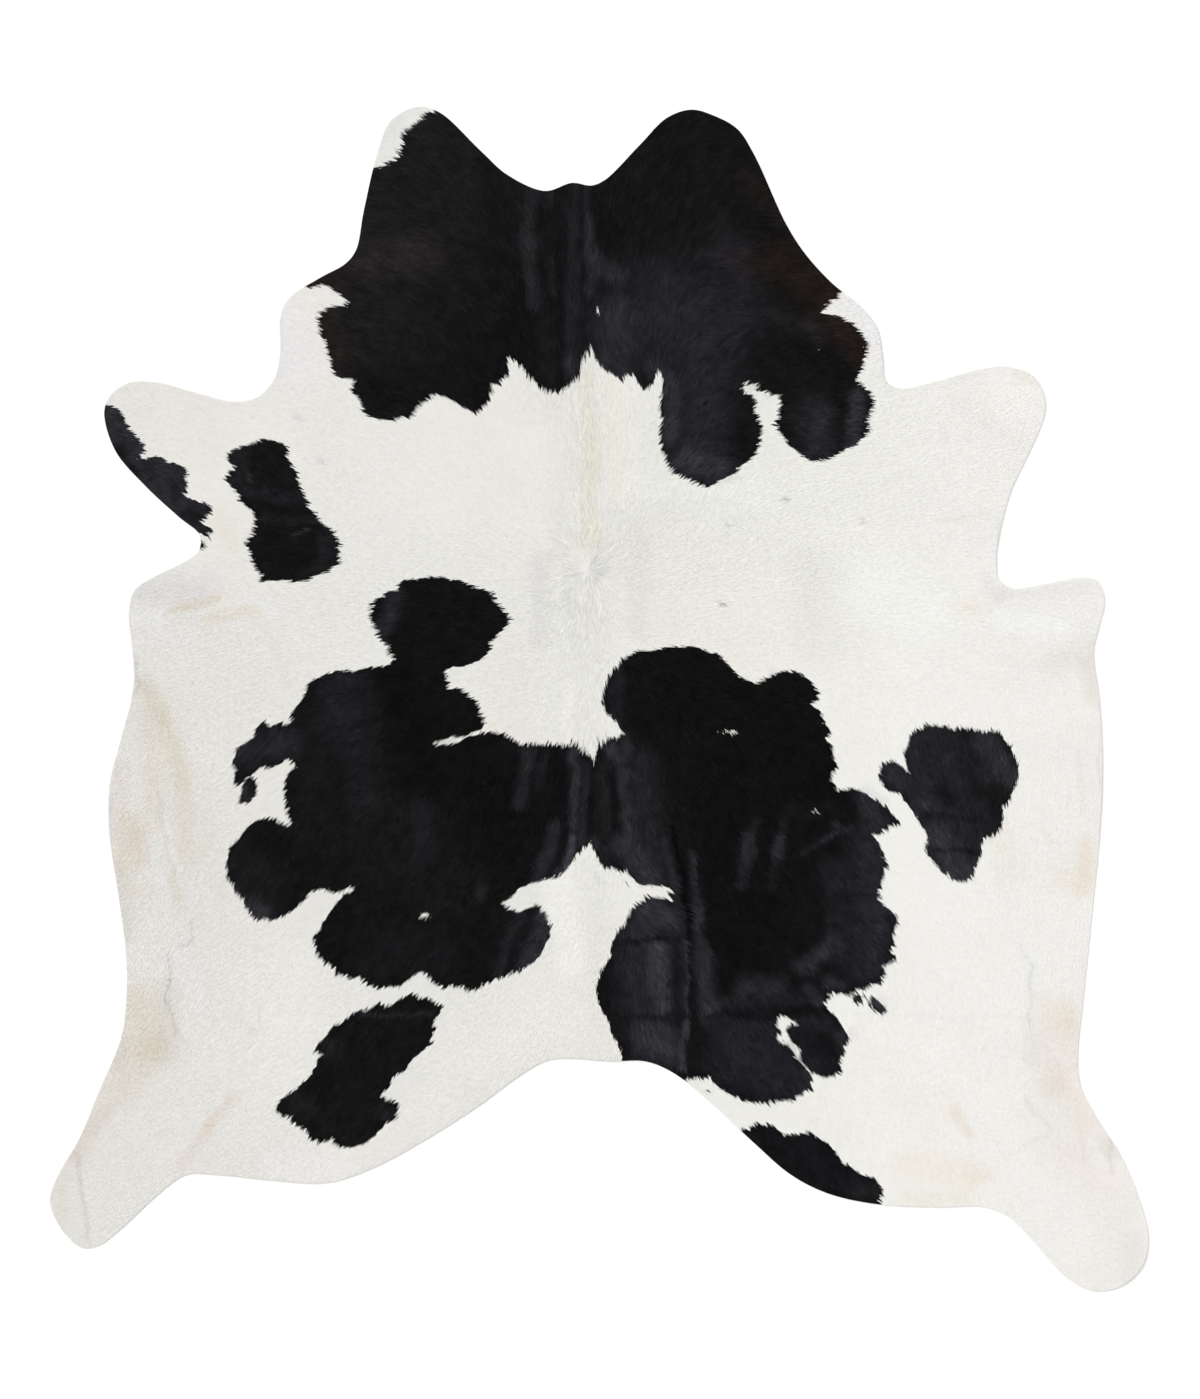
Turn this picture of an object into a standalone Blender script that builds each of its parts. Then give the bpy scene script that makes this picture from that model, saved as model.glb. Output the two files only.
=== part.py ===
"""A cowhide rug: one whole hide, tanned with its hair on, trimmed round its edge and lying flat.

The neck points to +Y and the hair side faces +Z. The origin is the middle of the laid hide's
outline, on the surface that it lies on. Lengths are in metres, but for the tables, whose columns
say centimetres or millimetres.
"""

import math

import bmesh
import bpy
import numpy as np
from mathutils import Vector
from mathutils.geometry import delaunay_2d_cdt

CM = 0.01
MM = 0.001

# Driving dimensions of the hide as it lies.
HIDE_WIDTH = 2.03  # from the left hind shank to the right one
HIDE_LENGTH = 2.19  # from the cheek lobes to the right hind shank
LEATHER = 2.2 * MM  # the tanned skin
COAT = 3.6 * MM  # the depth of the hair where it lies down on the back
RIM_COAT = 1.6 * MM  # the same at the trimmed edge
RIM_FADE = 4.5 * CM  # how far in from the edge the coat reaches its full depth
LEAST_THICKNESS = 2.6 * MM

# How finely the solid is faceted.
RIM_STEP = 1.4 * CM
INNER_STEP = 3.4 * CM
CREASE_STEP = 2.8 * CM

# The trimmed edge, clockwise seen from above, as (across, along) in centimetres from the middle.
# A smooth closed curve runs through the points.
OUTLINE = (
    ("notch between the cheeks", ((-5, 95.5), (-1.5, 95), (1, 96))),
    ("right cheek", ((7.5, 102.5), (12.5, 107.5), (17, 109), (21, 108), (25.5, 105.5), (28.5, 101))),
    ("right side of the neck", ((34.5, 88), (38, 82.5), (43, 77))),
    ("right shoulder", ((48.5, 72.5), (51.5, 68.5), (52.5, 63), (53, 59), (55.5, 57.5))),
    ("right foreleg, front edge", ((63, 59), (70.5, 61), (75.5, 61.5), (80.5, 59.5), (82.5, 54.5))),
    ("right foreleg, rear edge", ((81.5, 50), (79, 44.5), (76, 38), (74, 30))),
    ("right armpit", ((73.5, 26), (74, 22), (76.5, 20.5), (81, 21))),
    ("right elbow", ((89, 22.5), (92, 22), (93.5, 18.5), (92.5, 13.5), (91.5, 9))),
    ("right belly", ((92.5, 0), (93, -12), (92.5, -25), (91, -41), (89.5, -55.5), (88.5, -66))),
    ("right hind leg, front edge", ((89, -71.5), (92, -77.5), (96.5, -84.5), (99.5, -91.5))),
    ("right hind shank", ((101.5, -99), (100.5, -104.5), (96.5, -108.5), (91.5, -109.5), (86.5, -107))),
    ("right hind leg, rear edge", ((80.5, -100.5), (76, -96), (71.5, -94))),
    ("right thigh", ((63, -94), (52, -93.5), (42.5, -91.5), (35.5, -88), (28, -81.5), (20.5, -74.5))),
    ("right buttock", ((13.5, -69), (8.5, -67))),
    ("root of the tail", ((2, -67), (-6.5, -66.5), (-10, -67))),
    ("left buttock", ((-14.5, -69.5), (-22, -75))),
    ("left thigh", ((-33, -82), (-42.5, -87), (-50.5, -89.5), (-61, -89), (-71, -88), (-76.5, -88))),
    ("left hind leg, rear edge", ((-81.5, -91.5), (-88.5, -98), (-92.5, -101))),
    ("left hind shank", ((-95.5, -101.5), (-99, -98.5), (-101.5, -93), (-100.5, -89), (-96, -81))),
    ("left hind leg, front edge", ((-92.5, -72.5), (-88.5, -63))),
    ("left belly, rear", ((-87.5, -56.5), (-87.5, -47.5), (-89, -35.5), (-90.5, -25), (-90.5, -16))),
    ("left belly, front", ((-88.5, -7.5), (-86.5, 0), (-86, 4.5), (-86.5, 10.5))),
    ("left elbow", ((-87, 16), (-86, 20), (-82.5, 22.5), (-76.5, 25.5), (-74, 27.5))),
    ("left armpit", ((-74, 30.5), (-77.5, 33.5))),
    ("left foreleg, rear edge", ((-84, 39.5), (-89.5, 46), (-91.5, 53))),
    ("left foreleg, front edge", ((-90.5, 56), (-87, 58.5), (-81.5, 58.5), (-74, 56.5), (-67.5, 55))),
    ("left shoulder", ((-63, 56), (-60, 59.5), (-59, 64.5), (-59, 70.5), (-57.5, 74), (-51.5, 78))),
    ("left side of the neck", ((-47, 80.5), (-45, 83), (-43.5, 90.5), (-41, 101))),
    ("left cheek", ((-38.5, 107), (-33.5, 109.5), (-29.5, 108.5), (-22, 101.5), (-17, 97), (-10, 94))),
)

# Where the hide is thicker or thinner than on the back: (place, across cm, along cm, half width cm,
# half length cm, change mm). Each fades out as a soft mound.
BODY = (
    ("thick neck and its long hair", -2, 78, 42, 30, 1.6),
    ("left rump", -30, -45, 34, 26, 0.6),
    ("right rump", 28, -45, 34, 26, 0.6),
    ("left foreleg", -80, 46, 20, 20, -1.0),
    ("right foreleg", 77, 46, 20, 20, -1.0),
    ("left belly", -84, -15, 17, 48, -1.3),
    ("right belly", 86, -15, 17, 52, -1.3),
    ("left hind shank", -95, -93, 22, 22, -0.8),
    ("right hind shank", 94, -100, 22, 22, -0.8),
    ("hair whorl on the back", -1.5, 23, 9, 8, 0.8),
)

# Soft ridges and troughs of the hair side: (name, from cm, through cm, to cm, half width cm, rise mm).
CREASES = (
    ("back line of the neck", (-3, 94), (-3.5, 72), (-1.5, 54), 4.5, 1.3),
    ("back line", (-1.5, 54), (-2.5, 25), (-1.5, -8), 3.5, 1.2),
    ("back line of the rump", (-1.5, -8), (-1, -36), (-2, -63), 3.5, 1.0),
    ("fold from storage, rump", (-86, -59), (0, -57.5), (86, -58.5), 2.6, -0.9),
    ("fold from storage, shoulders", (-30, 34), (5, 34.5), (66, 33), 2.6, -0.7),
    ("fold beside the back line", (16.5, -26), (16.5, -48), (16, -68), 3.0, 1.4),
    ("skin fold of the left belly", (-78.5, 2), (-80, -22), (-78, -46), 2.8, 1.3),
    ("skin fold of the left hind leg", (-79.5, -46), (-79, -56), (-77.5, -64), 2.4, -1.1),
    ("crease of the left hind shank", (-96, -84), (-95, -92), (-93.5, -100), 1.8, -1.0),
    ("skin fold of the right hind leg", (79, -44), (78, -56), (79, -68), 2.6, 1.1),
    ("stretch mark of the left armpit", (-84, 17), (-73, 16), (-60, 17), 2.2, 1.0),
    ("stretch mark of the right armpit", (64, 17), (76, 16), (88, 14), 2.2, 1.0),
    ("wrinkles of the right shoulder", (18, 66), (27, 63), (36, 60), 2.4, 0.9),
)

# Where the trimmed edge curls a little off the surface below: (place, across cm, along cm, half width
# cm, half length cm, lift mm).
LIFTS = (
    ("left belly edge", -92, -24, 6, 22, 4.0),
    ("left flank, behind the elbow", -88, 5, 4, 8, 3.0),
    ("right belly edge", 95, -16, 6, 30, 3.6),
    ("left hind shank", -102, -97, 10, 10, 4.0),
    ("right hind shank", 101, -106, 11, 10, 4.5),
    ("left foreleg", -95, 52, 9, 9, 3.0),
    ("right foreleg", 86, 57, 9, 9, 3.4),
    ("left cheek", -35, 113, 9, 8, 3.0),
    ("right cheek", 17, 113, 10, 8, 3.0),
)


def clear_scene():
    for obj in list(bpy.data.objects):
        bpy.data.objects.remove(obj, do_unlink=True)


def curve_point(before, start, end, after, share):
    """The point at this share of the way from start to end on a centripetal Catmull-Rom curve."""
    knots = [0.0]
    for near, far in ((before, start), (start, end), (end, after)):
        knots.append(knots[-1] + math.sqrt((far - near).length))
    t = knots[1] + (knots[2] - knots[1]) * share
    points = [before, start, end, after]
    for span in (1, 2, 3):
        points = [
            points[i].lerp(points[i + 1], (t - low) / (high - low))
            for i, (low, high) in enumerate(blend_spans(knots, span))
        ]
    return points[0]


def blend_spans(knots, span):
    """The knot pairs between which the curve's points are blended in its first, second or third pass."""
    if span == 1:
        return [(knots[0], knots[1]), (knots[1], knots[2]), (knots[2], knots[3])]
    if span == 2:
        return [(knots[0], knots[2]), (knots[1], knots[3])]
    return [(knots[1], knots[2])]


def rim_points():
    """The trimmed edge at real size, centred, with a point about every RIM_STEP."""
    corners = [Vector(point) * CM for _, stretch in OUTLINE for point in stretch]
    count = len(corners)
    rim = []
    for i, start in enumerate(corners):
        end = corners[(i + 1) % count]
        steps = max(1, round((end - start).length / RIM_STEP))
        for k in range(steps):
            rim.append(curve_point(corners[i - 1], start, end, corners[(i + 2) % count], k / steps))
    rim = np.array([tuple(point) for point in rim])
    low, high = rim.min(axis=0), rim.max(axis=0)
    return (rim - (low + high) / 2) * np.array([HIDE_WIDTH, HIDE_LENGTH]) / (high - low)


def rim_distance(point, rim):
    """How far a point is from the nearest stretch of the edge."""
    ends = np.roll(rim, -1, axis=0)
    along = ends - rim
    share = ((point - rim) * along).sum(axis=1) / (along**2).sum(axis=1)
    nearest = rim + along * np.clip(share, 0, 1)[:, None]
    return np.sqrt(((point - nearest) ** 2).sum(axis=1).min())


def mound(x, y, across, along, half_width, half_length):
    """A soft bump of height 1 that has faded out at its half width and half length (centimetres)."""
    reach = math.hypot((x / CM - across) / half_width, (y / CM - along) / half_length)
    return math.cos(min(reach, 1.0) * math.pi / 2) ** 2


def crease_line(start, through, end):
    """The centre line of a crease, as points about CREASE_STEP apart on a curve through three places."""
    start, through, end = (Vector(place) * CM for place in (start, through, end))
    bend = 2 * through - (start + end) / 2
    steps = max(2, round((end - start).length / CREASE_STEP))
    line = []
    for k in range(steps + 1):
        t = k / steps
        line.append(start.lerp(bend, t).lerp(bend.lerp(end, t), t))
    return line


def crease_height(x, y, line, half_width, rise):
    """What a crease adds at a point: full height on its centre line, fading sideways and at its ends."""
    here = Vector((x, y))
    best, place = 1e9, 0.0
    for i, (near, far) in enumerate(zip(line, line[1:])):
        along = far - near
        share = min(max((here - near).dot(along) / along.length_squared, 0.0), 1.0)
        distance = (here - near - along * share).length
        if distance < best:
            best, place = distance, (i + share) / (len(line) - 1)
    sideways = math.cos(min(best / (half_width * CM), 1.0) * math.pi / 2) ** 2
    return rise * MM * sideways * math.sin(math.pi * min(max(place, 0.0), 1.0)) ** 0.5


def lift(x, y):
    """The height of the hide's underside."""
    return sum(height * MM * mound(x, y, *place) for _, *place, height in LIFTS)


def thickness(x, y, depth_in, crease_lines):
    """Leather and coat together, at a point this far in from the edge."""
    fade = math.sin(min(depth_in / RIM_FADE, 1.0) * math.pi / 2)
    total = LEATHER + RIM_COAT + (COAT - RIM_COAT) * fade
    total += sum(change * MM * mound(x, y, *place) for _, *place, change in BODY)
    for (_, _, _, _, half_width, rise), line in zip(CREASES, crease_lines):
        total += crease_height(x, y, line, half_width, rise) * fade
    return max(total, LEAST_THICKNESS)


def inner_points(rim, crease_lines):
    """Points inside the edge: three rows along each crease, and an even field between them."""
    found = []

    def keep(point, clear_of_rim, clear_of_others):
        inside = Vector(point)
        if is_inside(inside, rim) and rim_distance(point, rim) > clear_of_rim:
            if all((inside - Vector(other)).length > clear_of_others for other in found):
                found.append(point)

    for (_, _, _, _, half_width, _), line in zip(CREASES, crease_lines):
        for i, centre in enumerate(line):
            along = (line[min(i + 1, len(line) - 1)] - line[max(i - 1, 0)]).normalized()
            side = Vector((-along.y, along.x)) * half_width * CM
            for place in (centre, centre + side, centre - side):
                keep(np.array(place), 0.5 * RIM_STEP, 0.45 * CREASE_STEP)
    row_height = INNER_STEP * math.sqrt(3) / 2
    rows = int(HIDE_LENGTH / 2 / row_height)
    columns = int(HIDE_WIDTH / 2 / INNER_STEP)
    for row in range(-rows, rows + 1):
        offset = 0.5 * (row % 2)
        for column in range(-columns - 1, columns + 2):
            point = np.array([(column + offset) * INNER_STEP, row * row_height])
            keep(point, 0.6 * INNER_STEP, 0.55 * INNER_STEP)
    return found


def is_inside(point, rim):
    """Whether a point is inside the edge, by the crossings of a ray to +X."""
    x, y = point
    near, far = rim, np.roll(rim, -1, axis=0)
    crosses = (near[:, 1] > y) != (far[:, 1] > y)
    rise = np.where(crosses, far[:, 1] - near[:, 1], 1.0)
    at = near[:, 0] + (y - near[:, 1]) / rise * (far[:, 0] - near[:, 0])
    return bool((crosses & (at > x)).sum() % 2)


def hide_mesh():
    """The hide as one closed body: the hair side, the flesh side below it and the trimmed edge."""
    rim = rim_points()
    crease_lines = [crease_line(start, through, end) for _, start, through, end, _, _ in CREASES]
    plan = [Vector(point) for point in [*rim, *inner_points(rim, crease_lines)]]
    plan, _, triangles, _, _, _ = delaunay_2d_cdt(plan, [], [list(range(len(rim)))], 1, 1e-6)
    body = bmesh.new()
    under, over = [], []
    for x, y in plan:
        height = lift(x, y)
        depth_in = rim_distance(np.array([x, y]), rim)
        under.append(body.verts.new((x, y, height)))
        over.append(body.verts.new((x, y, height + thickness(x, y, depth_in, crease_lines))))
    for triangle in triangles:
        body.faces.new([over[i] for i in triangle])
        body.faces.new([under[i] for i in reversed(triangle)])
    below = dict(zip(over, under))
    for edge in [edge for edge in body.edges if edge.is_boundary and edge.verts[0] in below]:
        near, far = edge.verts
        body.faces.new((near, far, below[far], below[near]))
    bmesh.ops.triangulate(body, faces=[face for face in body.faces if len(face.verts) > 3])
    bmesh.ops.recalc_face_normals(body, faces=body.faces)
    mesh = bpy.data.meshes.new("hide")
    body.to_mesh(mesh)
    body.free()
    return mesh


def coat_material():
    """The off-white hair that covers most of the hide."""
    material = bpy.data.materials.new("white_coat")
    material.use_nodes = True
    shader = material.node_tree.nodes["Principled BSDF"]
    shader.inputs["Base Color"].default_value = (0.80, 0.79, 0.75, 1.0)
    shader.inputs["Roughness"].default_value = 0.6
    shader.inputs["Metallic"].default_value = 0.0
    material.diffuse_color = (0.80, 0.79, 0.75, 1.0)
    return material


def make_hide():
    mesh = hide_mesh()
    mesh.materials.append(coat_material())
    mesh.shade_smooth()
    mesh.set_sharp_from_angle(angle=math.radians(40))
    hide = bpy.data.objects.new("hide", mesh)
    bpy.context.scene.collection.objects.link(hide)


clear_scene()
make_hide()
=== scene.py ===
"""The looks of a cowhide rug: one whole hide, black and white, tanned with its hair on, lying flat.

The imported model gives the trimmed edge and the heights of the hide. On them lie a sheet of leather
and an undercoat, and on these the hair grows as many small locks, which follow the lie of the coat
away from a whorl on the back. The neck points to +Y. Lengths are in metres, but for the tables,
whose columns say centimetres. Colours in the tables run from 0 to 255, as on a screen.
"""

import math

import bpy
import numpy as np
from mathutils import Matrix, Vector
from mathutils.bvhtree import BVHTree
from mathutils.geometry import delaunay_2d_cdt


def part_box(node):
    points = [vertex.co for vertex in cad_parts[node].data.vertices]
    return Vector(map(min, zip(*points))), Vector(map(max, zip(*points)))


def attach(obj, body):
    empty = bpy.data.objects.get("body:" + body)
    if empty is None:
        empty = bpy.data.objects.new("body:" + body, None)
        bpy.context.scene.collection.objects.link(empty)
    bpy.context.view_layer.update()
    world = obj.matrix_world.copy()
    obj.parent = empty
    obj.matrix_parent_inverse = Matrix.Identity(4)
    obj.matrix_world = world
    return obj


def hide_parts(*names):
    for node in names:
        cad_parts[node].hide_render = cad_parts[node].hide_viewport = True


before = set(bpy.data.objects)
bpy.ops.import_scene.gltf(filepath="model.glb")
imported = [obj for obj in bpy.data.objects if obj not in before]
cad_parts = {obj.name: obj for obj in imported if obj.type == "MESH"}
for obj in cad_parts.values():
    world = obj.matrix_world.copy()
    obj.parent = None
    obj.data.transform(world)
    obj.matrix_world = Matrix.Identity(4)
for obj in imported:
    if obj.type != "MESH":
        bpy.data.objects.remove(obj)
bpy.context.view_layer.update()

CM = 0.01
MM = 0.001
SEED = 7

# The photograph, taken from straight above.
PHOTO_SIZE = (1200, 1399)
PHOTO_PIXEL = 1.85 * MM  # what one pixel covers on the floor
CAMERA_PLACE = (1.5 * MM, -0.4 * MM)  # the middle of the picture
CAMERA_LENS = 70.0
CAMERA_SENSOR = 36.0

# The sheet as it was trimmed, and its layers.
LEATHER = 2.2 * MM
RIM_STEP = 4 * MM
LEATHER_STEP = 3.0 * CM
LEATHER_RIM_GAP = 0.4 * LEATHER_STEP  # the least distance from the rim to the points inside it
WALL_ON_MAP = 4 * LEATHER  # how wide the cut edge is on the UV map
UNDERCOAT_BELOW = 0.8 * MM  # how far the undercoat lies below the coat's surface
UNDERCOAT_LEAST = 0.2 * MM  # the least that it stands above the leather
UNDERCOAT_AT_RIM = 0.1 * MM
UNDERCOAT_STEP = 9 * MM
BORDER_STEP = 4.5 * MM  # the same close to the border of a patch
BORDER_REACH = 8 * MM

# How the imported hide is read.
WELD = 0.01 * MM  # corners closer than this are one
STEEP = 0.5  # faces that rise less than this belong to the cut edge

# The locks of hair.
ROOT_SPACING = 2.35 * MM
ROOT_JITTER = 0.5  # how far roots stray from even rows, as a share of their spacing
CLUMP_SPACING = 6.5 * MM
CLUMP_JITTER = 0.45  # and the middles of clumps
ROW_SHARE = 0.87  # row distance over spacing, for staggered rows
LOCK_LENGTH = 14 * MM
LOCK_LENGTHS = (0.75, 1.15)  # between which shares of it one lock varies
CLUMP_LENGTHS = (0.8, 1.2)  # and a whole clump
LOCK_WIDTH = 2.2 * MM
LOCK_WIDTHS = (0.8, 1.2)
WIDTH_LIMIT = 0.35  # the most that half a lock's width is of its length
ROOT_BELOW = 0.9 * MM  # how far roots lie below the coat's surface
TIP_ABOVE = 0.3 * MM  # how far the highest tips stand above it
CLUMP_RISES = (0.3, 1.0)  # between which shares of that the tips of a clump stand
RIM_CLEAR = 0.8 * MM  # how far inside the rim roots stay
TIP_CLEAR = 0.5 * RIM_CLEAR  # and tips
SHORTEST = 0.1  # the least share of its length that a lock keeps at the rim
CLUMP_SHIFT = 0.9 * MM  # how far a clump strays over the border of a patch
LOCK_SHIFT = 0.5 * MM  # and a single lock
BLACK_OVER = 0.8 * MM  # how far black locks reach past the border of their patch
BORDER_CLUMPING = 0.4  # how far the locks of a clump keep to one colour there
CLUMPING = 0.65  # how far the locks of a clump run together towards their tips
CLUMP_BEND = 7.0  # degrees that a clump strays from the lie of the coat
LOCK_BEND = 4.0  # and a lock from its clump
LOCK_ROLL = 0.06 * MM  # the most that one side of a root lies above its middle
WHITE_SPREAD = 0.006  # how much one clump or lock is lighter or darker than the next
BLACK_SPREAD = 0.16
WHITE_SHADES = (0.95, 1.03)  # painted shade that darkens a lock at its root, where it lies under others, and its lighter tip
BLACK_SHADES = (0.8, 1.25)
RUFFLED_SPREAD = 0.09  # how much more ruffled white locks differ
RUFFLED_LENGTH = 0.8  # how much longer ruffled locks are, as a share
RUFFLED_WIDTH = -0.4  # and how much wider
LOCK_LEAN = 0.03  # how far the shading of a lock leans back, as a slope
WHITE_GLINT = 0.012  # and how much that differs from one lock to the next
BLACK_GLINT = 0.1
STRAND_STEP = 1.618  # how far apart neighbouring locks lie in the noise of their strands

# Grids on which the fields are kept.
AREA_MARGIN = 5 * CM
BORDER_CELL = 1.5 * MM
HEIGHT_CELL = 6 * MM
FLOW_CELL = 1 * CM
LAST_CELL = 1.001  # keeps a place on a grid's last line inside its last cell
BORDER_BAND = 3 * CM  # how far from a border its distance is worked out
RIM_BAND = 8 * CM
OVAL_POINTS = 10  # the corners of a fleck or spot

# Colours, and how they vary.
STROKE_FLAT = 0.1  # the share of a stroke's reach that keeps its full colour
STROKE_WANDER = 6 * MM  # how far the strokes stray from their lines
WANDER_SIZE = 3 * CM  # how far apart they stray differently
WANDER_SEEDS = (1, 2)
WHITE_CLOUDS = 1.5  # how uneven the white is, in steps of a screen colour
WHITE_CLOUD_SIZE = 7 * CM
WHITE_CLOUD_SEED = 3
BLACK_CLOUDS = 0.25  # how uneven the black is, as a share
BLACK_CLOUD_SIZE = 1.3 * CM
BLACK_CLOUD_SEED = 4
BLACK = (17, 17, 18)
HAIR_GLOSS = 0.0024  # what the gloss adds to the black, in linear light
BLACKEST = 0.0002
SUEDE_DARK = (196, 190, 184)
SUEDE_LIGHT = (222, 214, 202)
NOISE_RANGE = (0.25, 0.75)  # between which the noise of the materials is stretched

# Light and floor.
SUN_FROM = (-2.6, 2.2, 4.6)
SUN_STRENGTH = 1.59
SUN_SPREAD = 40.0  # degrees, wide as a softbox
SKY_STRENGTH = 0.72
FLOOR_SIZE = 14.0
FLOOR_BELOW = 0.3 * MM
FLOOR_COLOUR = (251, 251, 251)

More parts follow.
